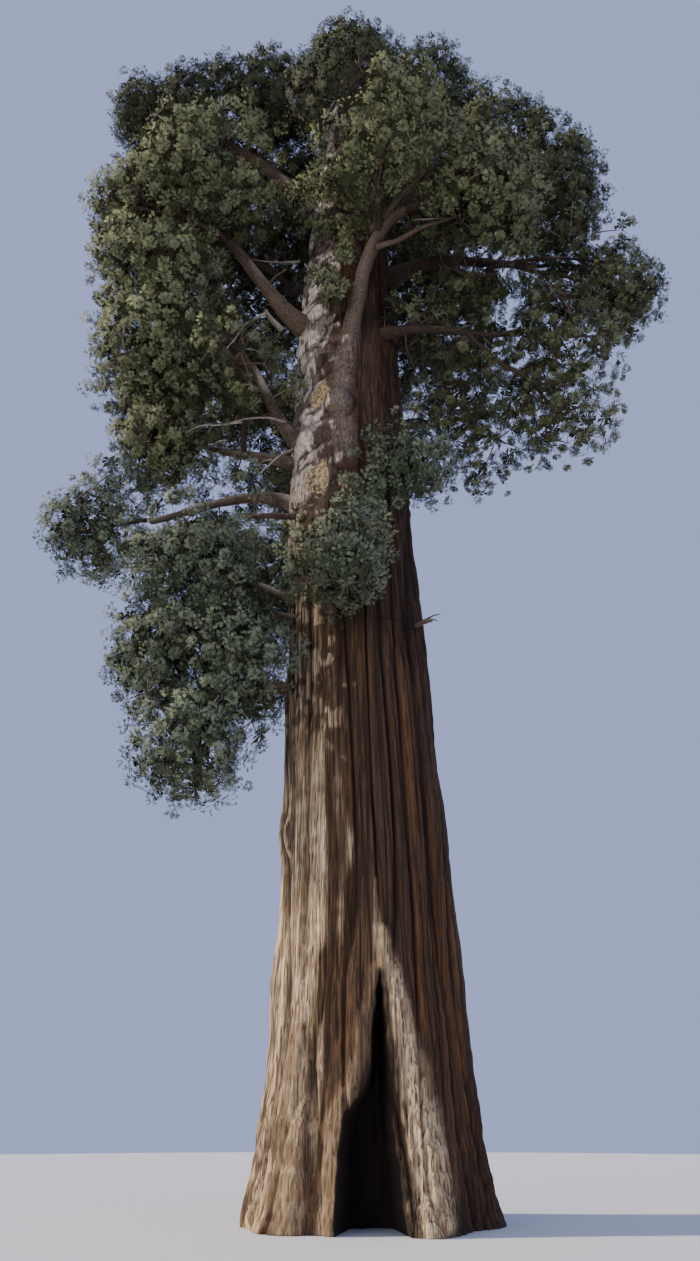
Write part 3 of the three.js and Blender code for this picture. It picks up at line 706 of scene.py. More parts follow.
# Limbs with what they carry, as the source has them. A row is: the zone whose needles are joined,
# the bough, the height at which it leaves the trunk, its radius there and at its tip, its two
# bends, and its masses, which hang on the trunk where there is no bough. A mass is: name, turn,
# reach, height, radius, flatness.
crownRows = [
    ("crest", "", 36.2, 0.16, 0.16, [], [("crest", 90, 0.9, 37.9, 1.95, 1.23)]),
    ("crest", "", 34.0, 0.2, 0.2, [], [("crest_right", 20, 3.2, 36.2, 2.2, 1.25)]),
    ("crest", "", 32.8, 0.2, 0.2, [], [("crest_left", 172, 2.9, 34.7, 2.25, 1.25)]),
    ("crest", "", 30.4, 0.22, 0.22, [], [("back_top", 108, 3.9, 34.0, 2.65, 1.2)]),
    ("crest", "", 29.4, 0.2, 0.2, [], [("front_top", 272, 2.7, 30.4, 2.2, 1.25)]),
    ("upper_left", "upper_left", 28.0, 0.3, 0.13, [(-2.4, 0.3, 29.3), (-4.6, 0.8, 33.9)], [
        ("core_left", 148, 3.6, 31.2, 2.3, 1.15), ("upper_left", 172, 5.5, 34.2, 2.2, 1.2),
        ("far_upper_left", 170, 8.0, 35.6, 1.55, 1.3),
    ]),
    ("upper_right", "shoulder_right", 28.0, 0.27, 0.13, [(1.1, 0.2, 28.9), (2.4, 0.4, 30)], [
        ("back_high_right", 50, 4.4, 33.2, 2.55, 1.2), ("shoulder_right", 8, 5.6, 32.8, 2.35, 1.25),
    ]),
    ("upper_right", "right_high", 23.4, 0.3, 0.1, [(1.4, -0.7, 25.9), (3.4, -0.4, 25.3)], [
        ("upper_right", 4, 6.9, 29.6, 2.55, 1.2), ("far_right", 356, 8.6, 23.7, 1.45, 1.1),
        ("mid_right", 2, 7.6, 26.0, 2.2, 1.15),
    ]),
    ("right", "right_low", 21.2, 0.24, 0.1, [(0.2, -1.7, 21.9), (2.2, -1.2, 21.5)], [
        ("tip_low_right", 350, 5.9, 18.6, 1.8, 1.15), ("lower_right", 352, 6.2, 21.6, 2.3, 1.05),
    ]),
    ("right", "inner_right", 20.6, 0.17, 0.09, [(0.3, -0.3, 21.5), (1.1, -0.6, 22.1)], [
        ("hang_right", 12, 3.5, 20.4, 1.7, 1.2), ("inner_right", 338, 3.9, 23.4, 1.85, 1.1),
    ]),
    ("front", "front", 18.4, 0.42, 0.2, [(-0.5, -2.2, 21.4), (0.1, -2.5, 24.8)], [
        ("front_high", 284, 4.3, 25.4, 2.4, 1.05), ("front_side", 316, 5.1, 24.2, 2.3, 1.05),
    ]),
    ("left", "left_arch", 21.9, 0.38, 0.14, [(-3.1, -0.9, 22.4), (-3.3, -1.2, 25.5)], [
        ("left_arch", 212, 4.7, 26.4, 2.55, 1.05), ("left_arch_tip", 196, 6.4, 25.7, 2.05, 1.1),
    ]),
    ("left", "left_mid", 17.0, 0.25, 0.12, [(-3.2, -0.4, 18.8), (-2.5, -1, 20.9)], [
        ("left_mid_high", 198, 5.6, 22.8, 2.4, 1), ("left_mid", 193, 5.5, 20.2, 2.3, 0.95),
    ]),
    ("left", "left_inner", 16.8, 0.21, 0.1, [(-1.3, -0.1, 17.5), (-2.5, -0.3, 17.7)], [
        ("left_inner", 217, 3.6, 19.3, 1.65, 1.15), ("left_low", 188, 5.1, 17.8, 1.9, 0.95),
    ]),
    ("drape", "left_low", 15.4, 0.2, 0.08, [(-2.6, -0.4, 17.3), (-4.2, -0.5, 15.7)], [
        ("left_bough_tip", 185, 6.7, 15.1, 1.7, 1.05),
    ]),
    ("drape", "drape_high", 12.4, 0.15, 0.09, [(-1, -0.3, 12.8), (-1.8, -0.6, 13)], [
        ("drape_top", 202, 4.1, 13.6, 1.9, 1.1),
    ]),
    ("drape", "drape_low", 10.2, 0.17, 0.08, [(-1.2, -0.3, 10.5), (-2.3, -0.6, 10.7)], [
        ("drape_inner", 213, 3.3, 10.9, 1.5, 1.25), ("drape_low", 202, 4.0, 8.8, 1.55, 1.1),
        ("drape_mid", 195, 4.7, 11.2, 1.65, 1.2),
    ]),
    ("drape", "", 15.4, 0.09, 0.09, [], [("trunk_right", 305, 2.8, 15.8, 1.2, 1.4)]),
    ("drape", "", 13.2, 0.11, 0.11, [], [("trunk_front", 262, 2.9, 12.8, 1.5, 1.1)]),
    ("back_left", "back_left", 24.8, 0.3, 0.14, [(-1.2, 1, 25.9), (-1.9, 1.9, 26.9)], [
        ("left_high", 172, 6.2, 29.6, 2.55, 1.2), ("back_left", 128, 5.6, 29.2, 2.85, 1.1),
    ]),
    ("back_right", "back_right", 24.0, 0.28, 0.14, [(0.3, 1, 25.2), (1, 2, 26.2)], [
        ("back_right", 55, 5.7, 28.6, 2.95, 1.1),
    ]),
    ("back_right", "back_mid", 20.4, 0.32, 0.15, [(-0.5, 1.3, 21.8), (-0.5, 2.6, 22.8)], [
        ("back_low", 98, 5.0, 20.4, 2.65, 1.1), ("back_mid", 92, 6.0, 25.0, 2.95, 1.1),
    ]),
    ("back_left", "back_low_left", 19.2, 0.26, 0.13, [(-1.5, 0.6, 20.5), (-2.5, 1.3, 21.4)], [
        ("back_low_left", 148, 5.6, 23.4, 2.85, 1.1),
    ]),
    ("drape", "", 13.4, 0.16, 0.16, [], [("back_drape", 128, 3.9, 15.4, 2.2, 1.4)]),
    ("back_right", "back_low_right", 18.4, 0.26, 0.13, [(0.5, 0.9, 19.8), (1.5, 1.8, 20.7)], [
        ("back_low_right", 42, 6.0, 22.8, 2.85, 1.1),
    ]),
]
limbKeys = ("zone", "bough", "leaves", "girth", "tip", "bends", "masses")
crown = [SimpleNamespace(**dict(zip(limbKeys, row))) for row in crownRows]

# Stretches of the boughs that the photograph shows, as shares of their length.
shows = {
    "upper_left": (0.45, 0.7), "right_high": (0.55, 1.0), "right_low": (0.2, 1.0), "front": (0.3, 1.0),
    "left_arch": (0.15, 1.0), "left_mid": (0.2, 0.95), "left_low": (0.2, 1.0),
}

# Small tufts along the boughs: first and last, as shares of the length, and how many.
leafy = {
    "right_high": (0.35, 0.95, 12), "right_low": (0.3, 1.0, 14), "inner_right": (0.4, 1.0, 6),
    "left_mid": (0.4, 0.9, 7), "left_inner": (0.35, 0.95, 9), "left_low": (0.3, 0.95, 18),
    "drape_high": (0.35, 1.0, 8), "drape_low": (0.35, 0.95, 12),
}

# Broken dead limbs: node, turn, height, length, girth, rise.
stubs = [
    ("stub_left_high", 204, 16.0, 2.9, 0.13, -0.9),
    ("stub_left_low", 200, 12.5, 2.15, 0.15, 0.05),
]

limbs = {
    "taperPower": 1.2,
    "endDepth": 0.85,
    "collar": 0.55,  # how much the limb swells where it leaves the trunk
    "collarLength": 0.7,
    "slim": {"front": 0.74, "left_arch": 0.8, "right_low": 0.78, "left_mid": 0.85},
    # how pale the limbs of a zone are: painted sunlight in the lit zones, bleaching on the dead stubs
    "paleAndSunlit": {"drape": 0.8, "left": 0.5, "others": 0.15, "stub": 1.1},
    "furrow": (0.45, 0.05, 6, 0.26),  # width as a share of the radius, least width, length, softness
    # the limbs' furrows drawn darker, partly painted shade
    "furrowDark": 0.55,
    "knots": 0.12,
    "pale": (0.5, 0.9, 0.45),  # shares of facing up, painted light from above, and of patches, and what is taken off
    "warmFrom": 0.4,
    "stemGirth": 0.8,
    "stemEnd": 0.6,
    "stemRise": 0.06,
    "stemPlaces": 24,
    "stemFrom": 0.25,
    "stemTo": 0.83,
    "stemLast": 0.97,
    "stubEnd": 0.5,
}

# Each kind of limb: sides, steps, how far it wanders, how rough its bark is.
limbKinds = {
    "bough": (20, 110, 0.07, 0.1),
    "stub": (14, 40, 0.05, 0.2),
    "bare": (8, 30, 0.12, 0.15),
    "stem": (10, 36, 0.12, 0.13),
}


def onAxis(height):
    return np.array([leanAt(height), 0, height])


def polar(turn, reach, height):
    angle = math.radians(turn)
    return onAxis(height) + (reach * math.cos(angle), reach * math.sin(angle), 0)


# How far along a path each of its points is.
def passedAlong(path):
    return joined([0], np.cumsum(lengthOf(np.diff(path, axis=0))))


# Evenly spaced points along a Bezier curve.
def spaced(controls, count):
    fine = 241
    shares = np.linspace(0, 1, fine)[:, None]
    level = [np.broadcast_to(np.asarray(c, float), (fine, 3)) for c in controls]
    while len(level) > 1:
        level = [a + (b - a) * shares for a, b in zip(level, level[1:])]
    passed = passedAlong(level[0])
    wanted = np.linspace(0, passed[-1], count + 1)
    return np.stack([np.interp(wanted, passed, values) for values in level[0].T], axis=1)


# Each mass keeps to its own space, with a flat wall where it meets a neighbour.
def layOutMasses():
    masses = []
    for row in crown:
        row.placed = []
        for name, turn, reach, height, size, flat in row.masses:
            masses.append(SimpleNamespace(
                name=name, zone=row.zone, seed=len(masses) * 1.3 + 0.7, walls=[],
                centre=polar(turn, reach, height), radii=np.array([size, size, size * flat]),
            ))
            row.placed.append(masses[-1])
    for mass in masses:
        for other in masses:
            if other is mass:
                continue
            between = lengthOf(other.centre - mass.centre)
            normal = (other.centre - mass.centre) / between
            mine, theirs = (1 / lengthOf(normal / each.radii) for each in (mass, other))
            if mine + theirs > between:
                mass.walls.append((normal, between * mine / (mine + theirs)))
    return masses


# How far a mass's own space goes in each direction.
def reachOf(mass, directions):
    reach = 1 / lengthOf(directions / mass.radii)
    for normal, distance in mass.walls:
        facing = directions @ normal
        reach = np.where(facing > 1e-6, np.minimum(reach, distance / np.maximum(facing, 1e-6)), reach)
    return reach


def spreadOver(count, seed):
    k = np.arange(count)
    z = 1 - 2 * (k + 0.5) / count
    angle = k * 2.39996 + seed
    flat = np.sqrt(1 - z * z)
    return np.stack([np.cos(angle) * flat, np.sin(angle) * flat, z], axis=1)


# Directions across a path and up from it, carried along it without twist.
def framesAlong(path):
    tangents = unit(np.gradient(path, axis=0))
    side = Vector((0, 0, 1)).cross(Vector(tangents[0])).normalized()
    sides = []
    for tangent in tangents:
        t = Vector(tangent)
        side = (side - t * side.dot(t)).normalized()
        sides.append(side[:])
    return np.array(sides), np.cross(tangents, sides)


# A closed round limb along a path, with its ends drawn to points.
def limbPiece(kind, name, material, path, radii, seed, paleAndSunlit):
    sides, steps, _, rough = limbKinds[kind]
    bm, shares = newGrid(sides, steps)
    k = np.rint(shares[:, 1] * steps).astype(int)
    radius = radii[k]
    cos, sin = (turn(shares[:, 0] * 2 * np.pi) for turn in (np.cos, np.sin))
    body = np.stack([cos * radius, sin * radius, passedAlong(path)[k]], axis=1)
    share, least, tall, soft = limbs["furrow"]
    wide = max(least, float(np.max(radii)) * share)
    inFurrow = furrowsIn(body, wide, wide * tall, soft, seed)
    out = radius * (1 - rough * inFurrow + limbs["knots"] * fieldOf("limbKnot", body, seed))
    out = np.where((k == 0) | (k == steps), 0, out)
    across, up = (frames[k] for frames in framesAlong(path))
    points = path[k] + across * (cos * out)[:, None] + up * (sin * out)[:, None]
    patches = fieldOf("limbPatch", body, seed)
    paintedTopLight, byPatch, less = limbs["pale"]
    # pale bark: painted light from above, patches, and the zone's painted sunlight and bleaching
    fieldsKept = {
        "furrow": limbs["furrowDark"] * inFurrow,
        "pale": smooth(paleAndSunlit + paintedTopLight * (up[:, 2] * sin + across[:, 2] * cos) + byPatch * patches - less),
        "warm": smooth(patches - limbs["warmFrom"]),
    }
    return wrapUp(name, bm, points, fieldsKept, material)


def taper(base, tip, count):
    along = np.linspace(0, 1, count + 1)
    return tip + (base - tip) * (1 - along) ** limbs["taperPower"]


def wandering(path, seed, amount):
    along = np.linspace(0, 1, len(path))[:, None]
    sway = np.stack([waver(path / 0.9, seed + i * 3.3) for i in range(3)], axis=1)
    return path + sway * amount * np.sin(np.pi * along)


# A whole limb of one kind along a curve. The first seed is for its way, the second for its bark.
def growLimb(kind, name, material, controls, base, tip, seeds, paleAndSunlit=0.0):
    _, steps, wander, _ = limbKinds[kind]
    path = wandering(spaced(controls, steps), seeds[0], wander)
    radii = taper(base, tip, steps)
    return limbPiece(kind, name, material, path, radii, seeds[1], paleAndSunlit), path, radii


masses = layOutMasses()
# Points on the wood and its radius there, which the foliage keeps clear of.
axes = [(onAxis(z), trunkRadius(z)) for z in np.arange(5, trunk["height"], 0.5)]
showing = []  # where limbs are seen from the front
hungFrom = {}


def growBough(number, row):
    _, steps, wander, _ = limbKinds["bough"]
    last = row.placed[-1]
    inward = unit(np.array(row.bends[1]) - last.centre)
    end = last.centre + inward * limbs["endDepth"] / lengthOf(inward / last.radii)
    controls = [onAxis(row.leaves), *row.bends, end]
    path = wandering(spaced(controls, steps), number, wander)
    radii = taper(row.girth, row.tip, steps) * limbs["slim"].get(row.bough, 1)
    fromTrunk = np.hypot(path[:, 0] - leanAt(path[:, 2]), path[:, 1]) - trunkRadius(path[:, 2])
    leaving = np.argmax(fromTrunk > 0)
    rate = (fromTrunk[leaving] - fromTrunk[leaving - 1]) / lengthOf(path[leaving] - path[leaving - 1])
    radii = radii * (1 + limbs["collar"] * rate * np.exp(-np.abs(fromTrunk) / limbs["collarLength"]))
    paleAndSunlit = limbs["paleAndSunlit"].get(row.zone, limbs["paleAndSunlit"]["others"])
    # limbs in the lit front, left and drape zones take the plain limb bark, the others its copy darkened as
    # painted shade
    wood = limbMaterial if row.zone in ("front", "left", "drape") else shadedMaterial
    piece = limbPiece("bough", "limb_" + row.bough, wood, path, radii, number * 1.7, paleAndSunlit)
    place(piece, "limb_wood", "bough_" + row.bough)
    first, until = [round(share * steps) for share in shows.get(row.bough, (0, 0))]
    showing.extend(zip(path[first:until:4], radii[first:until:4]))
    axes.extend(zip(path[::4], radii[::4]))
    count = limbs["stemPlaces"]
    near = spaced(controls, count)[round(limbs["stemFrom"] * count):round(limbs["stemTo"] * count) + 1]
    for mass in row.placed:
        hungFrom[mass.name] = near[np.argmin(lengthOf(near - mass.centre))]
    hungFrom[last.name] = path[round(limbs["stemLast"] * steps)]


for number, row in enumerate(crown):
    if row.bough:
        growBough(number, row)
    else:
        hungFrom.update({mass.name: onAxis(row.leaves) for mass in row.placed})

for number, (node, turn, height, length, girth, rise) in enumerate(stubs):
    piece, path, radii = growLimb(
        "stub", "dead_" + node, limbMaterial, [onAxis(height), polar(turn, length, height + rise)],
        girth, girth * limbs["stubEnd"], (40 + number, 9.0 + number), limbs["paleAndSunlit"]["stub"],
    )
    place(piece, "limb_wood", node)
    axes.extend(zip(path, radii))

# Bare limbs and twigs: name, radius at each end, how bleached, points that bend it.
bare = [
    ("arch_stub", 0.1, 0.06, 1.2, [(-2.35, -0.7, 22.1), (-2.85, -1.15, 22.5)]),
    ("arch_twig", 0.05, 0.015, 1.2, [(-2.8, -1.1, 22.4), (-3.3, -1.6, 21.4), (-3.8, -1.9, 20.0)]),
    ("upper_twig", 0.045, 0.012, 1.2, [(-1.9, -0.5, 25.3), (-2.8, -0.9, 24.7), (-3.8, -1.0, 24.9)]),
    ("high_twig", 0.04, 0.012, 0.6, [(-2.3, -0.8, 24.6), (-2.9, -1.3, 23.2)]),
    ("mid_twig", 0.05, 0.015, 1.1, [(-2.1, -0.6, 18.7), (-2.9, -1.3, 18.4), (-3.5, -1.7, 17.7)]),
    ("mid_low_twig", 0.035, 0.01, 1.1, [(-3.6, -1.5, 17.3), (-4.3, -1.9, 16.4)]),
    ("mid_far_twig", 0.035, 0.01, 1.1, [(-3.2, -1.5, 17.9), (-3.9, -1.6, 17.9), (-4.6, -1.8, 17.3)]),
    ("low_twig", 0.055, 0.015, 1.2, [(-1.9, -0.5, 17.8), (-2.3, -1.0, 17.3), (-2.8, -1.2, 16.3)]),
    ("low_far_twig", 0.03, 0.01, 1.1, [(-3.2, -1.2, 16.5), (-4.0, -1.5, 15.7)]),
    ("right_hang", 0.03, 0.01, 0.1, [(1.2, -1.4, 21.3), (1.2, -1.6, 20.0), (1.7, -1.6, 18.7)]),
    ("arch_reach", 0.1, 0.03, 0.3, [(-4.6, -1.55, 25.45), (-5.6, -2.1, 25.5), (-6.6, -2.5, 25.2)]),
    ("front_fork", 0.1, 0.03, 0.4, [(0.1, -2.3, 23.5), (1.2, -2.9, 23.6), (2.9, -3.3, 23.9)]),
    ("front_reach", 0.12, 0.03, 0.4, [(0.2, -2.4, 24.2), (0.9, -3.2, 24.7), (2.3, -3.9, 25.3)]),
    ("front_rise", 0.06, 0.02, 0.4, [(0.7, -2.9, 24.4), (0.3, -3.1, 25.0), (0.25, -3.1, 25.6)]),
    ("right_reach", 0.09, 0.03, 0.3, [(3.8, -0.4, 25.0), (5.2, -0.5, 25.6), (7.5, -0.3, 25.6)]),
    ("leader", 0.14, 0.05, 0.3, [(-0.8, -0.6, 30.6), (-0.9, -0.9, 32.8), (0.1, -0.9, 34.8)]),
    ("right_stub", 0.07, 0.04, 0.9, [(1.1, -0.8, 12.1), (1.6, -1.15, 12.15)]),
]

# Small side twigs on the thin bare limbs.
barb = {"under": 0.08, "steps": (9, 14, 18, 22, 26), "spread": 0.72, "sag": 0.2, "long": (0.25, 0.4)}
barbs = []
for number, (name, base, tip, bleached, controls) in enumerate(bare):
    # these bare limbs take the limb bark darkened as painted shade
    wood = shadedMaterial if name in ("leader", "right_hang", "right_reach") else limbMaterial
    piece, path, radii = growLimb(
        "bare", "bare_" + name, wood, controls, base, tip, (60 + number, 30.0 + number), bleached,
    )
    place(piece, "limb_wood")
    showing += [(at, base) for at in path[::4]]
    for step in barb["steps"] if base < barb["under"] else ():
        aside = spreadOver(40, number)[step] - (0, 0, barb["sag"])
        turned = unit(path[step] - path[step - 4] + barb["spread"] * aside)
        least, more = barb["long"]
        length = least + more * chance(number * 3.1 + step)
        barbs.append((path[step], path[step] + turned * length, radii[step]))
print("limbs", len(axes))


# Small things: one form copied many times into one mesh, by arrays of places and axes. The middle
# of each copy is lifted by the same share.
def joinCopies(name, form, places, frames, lift, materials, chosen, normals=None):
    corners = np.array([v.co for v in form.verts])
    faces = np.array([[v.index for v in f.verts] for f in form.faces])
    copies, size = len(places), len(corners)
    points = places[:, None] + np.einsum("vc,ncd->nvd", corners, frames)
    along = corners[:, 0]
    points[:, :, 2] += lift * 4 * along * (1 - along)
    corner = (faces[None] + size * np.arange(copies)[:, None, None]).ravel()
    mesh = bpy.data.meshes.new(name)
    mesh.vertices.add(copies * size)
    mesh.vertices.foreach_set("co", points.ravel())
    mesh.loops.add(len(corner))
    mesh.loops.foreach_set("vertex_index", corner)
    mesh.polygons.add(copies * len(faces))
    mesh.polygons.foreach_set("loop_start", np.arange(copies * len(faces)) * faces.shape[1])
    mesh.polygons.foreach_set("material_index", np.repeat(chosen, len(faces)))
    for material in materials:
        mesh.materials.append(material)
    mesh.update(calc_edges=True)
    mesh.validate()
    if normals is not None:
        mesh.polygons.foreach_set("use_smooth", np.ones(copies * len(faces), bool))
        mesh.normals_split_custom_set_from_vertices(np.repeat(normals, size, axis=0))
    return addObject(name, mesh)


# Rows of axes: along, side and up, each scaled.
def framesOf(along, facing, wide):
    length = lengthOf(along)[:, None]
    side = unit(np.cross(facing, along))
    up = unit(np.cross(along, side))
    return np.stack([along, side * wide * length, up * wide * length], axis=1)


# A twig one metre long, one metre thick, thinner towards its tip.
def twigForm(sides, steps):
    bm, _ = newGrid(sides, steps)
    for vert in bm.verts:
        angle, along = (vert.co.x + 0.5) * 2 * math.pi, vert.co.y + 0.5
        radius = 0 if along < 1e-6 or along > 1 - 1e-6 else 0.5 * (1 - 0.6 * along)
        vert.co = (along, radius * math.cos(angle), radius * math.sin(angle))
    bmesh.ops.remove_doubles(bm, verts=bm.verts, dist=1e-6)
    bmesh.ops.triangulate(bm, faces=bm.faces)
    bmesh.ops.recalc_face_normals(bm, faces=bm.faces)
    bm.verts.index_update()
    return bm


# A twiglet: a thin three-sided spike.
def twigletForm():
    bm = bmesh.new()
    bmesh.ops.create_cone(bm, cap_ends=True, segments=3, radius1=0.5, radius2=0, depth=1)
    bmesh.ops.remove_doubles(bm, verts=bm.verts, dist=1e-6)
    for vert in bm.verts:
        vert.co = (vert.co.z + 0.5, vert.co.y, vert.co.x)
    bmesh.ops.recalc_face_normals(bm, faces=bm.faces)
    bm.verts.index_update()
    return bm


# A spray of scale leaves one metre long: three blunt cords that leave its stem one by one.
sprayShape = {
    "corners": [(0, 0, 0), (0.98, -0.09, -0.02), (1.03, 0.08, -0.02), (0.14, 0.02, 0), (0.88, 0.2, 0.03),
                (0.76, 0.37, 0.03), (0.08, -0.03, 0), (0.65, -0.37, 0.03), (0.78, -0.19, 0.03)],
    "faces": [(0, 1, 2), (3, 4, 5), (6, 7, 8)],
}


def sprayForm():
    bm = bmesh.new()
    verts = [bm.verts.new(at) for at in sprayShape["corners"]]
    for face in sprayShape["faces"]:
        bm.faces.new([verts[i] for i in face])
    bm.verts.index_update()
    return bm


# A clump deep in the foliage: blunt cords of leaves all round one point.
def clumpForm(cords):
    bm = bmesh.new()
    middle = bm.verts.new((0.5, 0, 0))
    for cord in range(cords):
        rolls = [float(chance(cord * step)) for step in (1.7, 2.9, 4.3)]
        ends = []
        for side, reach in ((-0.3 - 0.25 * rolls[0], 0.26 + 0.26 * rolls[1]), (0.4, 0.26 + 0.26 * rolls[2])):
            angle = (cord + side) * 2 * math.pi / cords
            at = (0.5 + reach * math.cos(angle), reach * math.sin(angle), 0.04 * (cord % 3))
            ends.append(bm.verts.new(at))
        bm.faces.new([middle, *ends])
    bm.verts.index_update()
    return bm


# Each mass grows arms, which carry billows, which carry tufts of sprays. Sizes in metres.
foliage = {
    "vary": {"billow": 0.3, "bridge": 0.2, "tuft": 0.3},  # share by which sizes vary by chance
    "arms": 8,
    "armReach": 0.5,
    "armThick": 0.09,
    "billowSpacing": 1.3,  # one billow for each square of this side
    "billowSize": 0.7,
    "billowLimit": 0.42,  # their greatest radius as a share of the reach
    "billowOut": 0.99,
    "billowApart": 0.68,  # none where a neighbour's wall cuts the reach below this share
    "billowSink": 0.26,  # share of the reach by which some stand further in
    "billowThick": 0.05,
    "bridgeSize": 0.6,  # billows that close the valleys between masses
    "bridgeSpacing": 1.3,
    "bridgeSink": {"drape": 0.22, "left": 0.7, "back_left": 0.7, "others": 0.44},
    "bridgeShade": 0.3,  # how dark they are, as a share of the reach sunk in
    "bridgeClear": (0.55, 0.82),  # how near the middle of one mass and of a third they may be
    "tufts": 18,
    "tuftSize": 0.21,
    "tuftThick": 0.022,
    "tuftOut": (0.66, 0.36),  # share of the billow's radius, and more by chance
    "tuftWay": (0.8, 0.5, 0.2),  # how much they point off the billow, off the mass and up
    "tuftOpen": (0.35, 0.8),  # in a mass that is opener than this they are smaller
    "tuftBack": -0.35,  # tufts that face inwards more than this are left out
    "sprays": 35,
    "sprayLong": (0.1, 0.18),
    "sprayStand": (0.55, 0.4, 0.35),  # how far out they stand: all, by chance, and outwards
    "sprayBack": (-0.2, 0.25),  # how far out they face at least, and more by chance
    "sprayWay": (0.5, 0.2),  # how much they point sideways and up
    "sprayNormal": (0.4, 0.8, 0.5),  # lit as the spray, its tuft and its billow face
    "sprayTurn": 0.6,
    "sprayIn": 0.8,  # share of the length that lies inside its tip's place
    "coreSize": 1.3,  # the clump in each tuft, as a share of the tuft's size
    "clumps": 4,  # clumps in each billow, dealt the darkest colour as painted shade
    "clumpLong": (0.4, 0.65),
    "clumpOut": 0.6,  # share of the billow's radius
    "clumpOpen": 1.3,  # how much faster they thin out in open masses than tufts do
    "innerClumps": 50,
    "innerReach": (0.2, 0.4),  # share of the reach, and more by chance
    "bleached": 0.1,  # share of the twigs that are dead
    "open": 0.1,  # share of the tufts that are missing
    "openClumps": 0.6,
    "openLimb": 0.18,  # clear space in front of the limbs that show
    "stray": 0.15,  # share of the tufts that hang in front of a limb all the same
    "overhang": 0.018,  # how far beyond the solid's box, as a share of its size
    "clear": (0.1, 0.16, 0.3),  # space that billows, tufts and clumps leave round the wood
    "sleeve": (0.34, 0.2, 0.3),  # size of the small tufts on boughs, by chance more, and their stand
}

# Light by which the needle colours are dealt out: shares of what faces out and up, and what is
# taken off deep inside and on the side away from the sun.
lighting = {
    "base": 1.7,
    "facing": 0.6,
    "tuftUp": 1.0,
    "billowUp": 1.1,
    "chance": 0.5,
    "deep": 3.5,
    "shadeSide": (-0.85, 0, 0.53),
    "shade": (1.9, 0.35),
    "sprayChance": 1.9,
    "clump": -0.3,
    "ownShade": 0.08,  # for the tufts that stand off the masses
}

# Masses that the sky shows through.
openMasses = {
    "far_right": 0.3, "mid_right": 0.36, "lower_right": 0.45, "tip_low_right": 0.45, "hang_right": 0.55,
    "inner_right": 0.42, "left_bough_tip": 0.3, "left_inner": 0.4, "left_low": 0.25, "left_arch": 0.15,
    "left_mid": 0.15, "left_mid_high": 0.12, "far_upper_left": 0.12, "trunk_right": 0.3, "trunk_front": 0.12,
    "back_low_right": 0.45, "back_right": 0.2, "core_left": 0.45, "drape_low": 0.2,
}

# Size of a zone's sprays, and how many there are of them.
sprayScale = {
    "drape": (0.78, 1.2), "left": (0.92, 1.1), "front": (0.92, 1.1),
    "back_left": (1.2, 0.66), "back_right": (1.2, 0.66), "left_high": (0.95, 1.1),
    "crest": (0.88, 1.2), "upper_left": (0.88, 1.2), "upper_right": (0.88, 1.2),
}

# How much painted shade the needles of a zone or a mass get as their colours are dealt out; below 0 it is
# painted light.
darker = {
    "crest": 1.8, "upper_left": 1.7, "upper_right": 0.8, "right": 0.3, "left": -0.8, "front": -0.6,
    "drape": 0.1, "trunk_right": 0.6, "trunk_front": 0.2, "back_left": 1.2, "back_right": 0.5,
    "left_high": 0.5,
}

# Tufts that stand off the masses, by the mass they grow with: middle, radius, where they spring from.
outliers = {
    "front_high": [
        ((-1.45, -1.5, 27.3), 0.6, (-0.6, -0.3, 26.6)),
        ((-0.9, -1.7, 26.6), 0.6, (-0.5, -0.4, 26.0)),
        ((-1.65, -1.3, 26.2), 0.5, (-0.6, -0.3, 25.6)),
        ((-0.35, -1.9, 27.3), 0.6, (-0.4, -0.4, 26.8)),
        ((-1.95, -0.9, 27.7), 0.6, (-0.6, -0.2, 27.0)),
        ((-0.9, -1.5, 28.3), 0.6, (-0.5, -0.3, 27.6)),
        ((-0.75, -1.6, 25.9), 0.45, (-0.5, -0.4, 25.4)),
        ((-1.15, -1.5, 25.5), 0.3, (-0.6, -0.4, 25.0)),
        ((-1.15, -1.95, 22.9), 0.36, (-0.8, -1.0, 22.4)),
        ((-0.75, -2.05, 22.0), 0.36, (-0.6, -1.2, 21.6)),
        ((-0.3, -2.0, 24.6), 0.4, (-0.4, -1.0, 24.2)),
        ((-0.55, -2.0, 23.7), 0.34, (-0.5, -1.0, 23.4)),
    ],
    "trunk_right": [
        ((0.1, -2.05, 16.1), 0.6, (-0.1, -0.9, 16.2)),
        ((-0.2, -2.1, 15.3), 0.5, (-0.2, -0.9, 15.6)),
        ((0.45, -1.95, 16.8), 0.5, (0.1, -0.8, 16.8)),
        ((0.35, -2.15, 15.1), 0.55, (0.1, -0.9, 15.5)),
        ((0.1, -2.2, 14.4), 0.45, (0.1, -0.9, 15.0)),
        ((0.75, -1.9, 15.9), 0.5, (0.3, -0.8, 16.2)),
    ],
    "trunk_front": [
        ((-1.3, -1.9, 15.0), 0.42, (-0.7, -1.0, 14.6)),
        ((-0.3, -2.2, 14.6), 0.5, (-0.4, -1.2, 14.2)),
    ],
}

# Needle colours from painted deep shade to painted sunlit highlight, dealt out by spray by the painted light
# each is given. Scale leaves are matt.
needleColours = {
    "high": ["#3b4026", "#53583a", "#686d49", "#7a7f57", "#8a8f65"],
    "low": ["#3d4631", "#56604a", "#6c755a", "#7e876a", "#8d967a"],
}
needles = {
    kind: [newMaterial("%s needles %d" % (kind, i + 1), colour, 0.75) for i, colour in enumerate(colours)]
    for kind, colours in needleColours.items()
}


def clearOfLimbs(points, spare):
    clear = np.ones(len(points), bool)
    for at, radius in axes:
        clear &= lengthOf(points - at) > radius + spare
    return clear


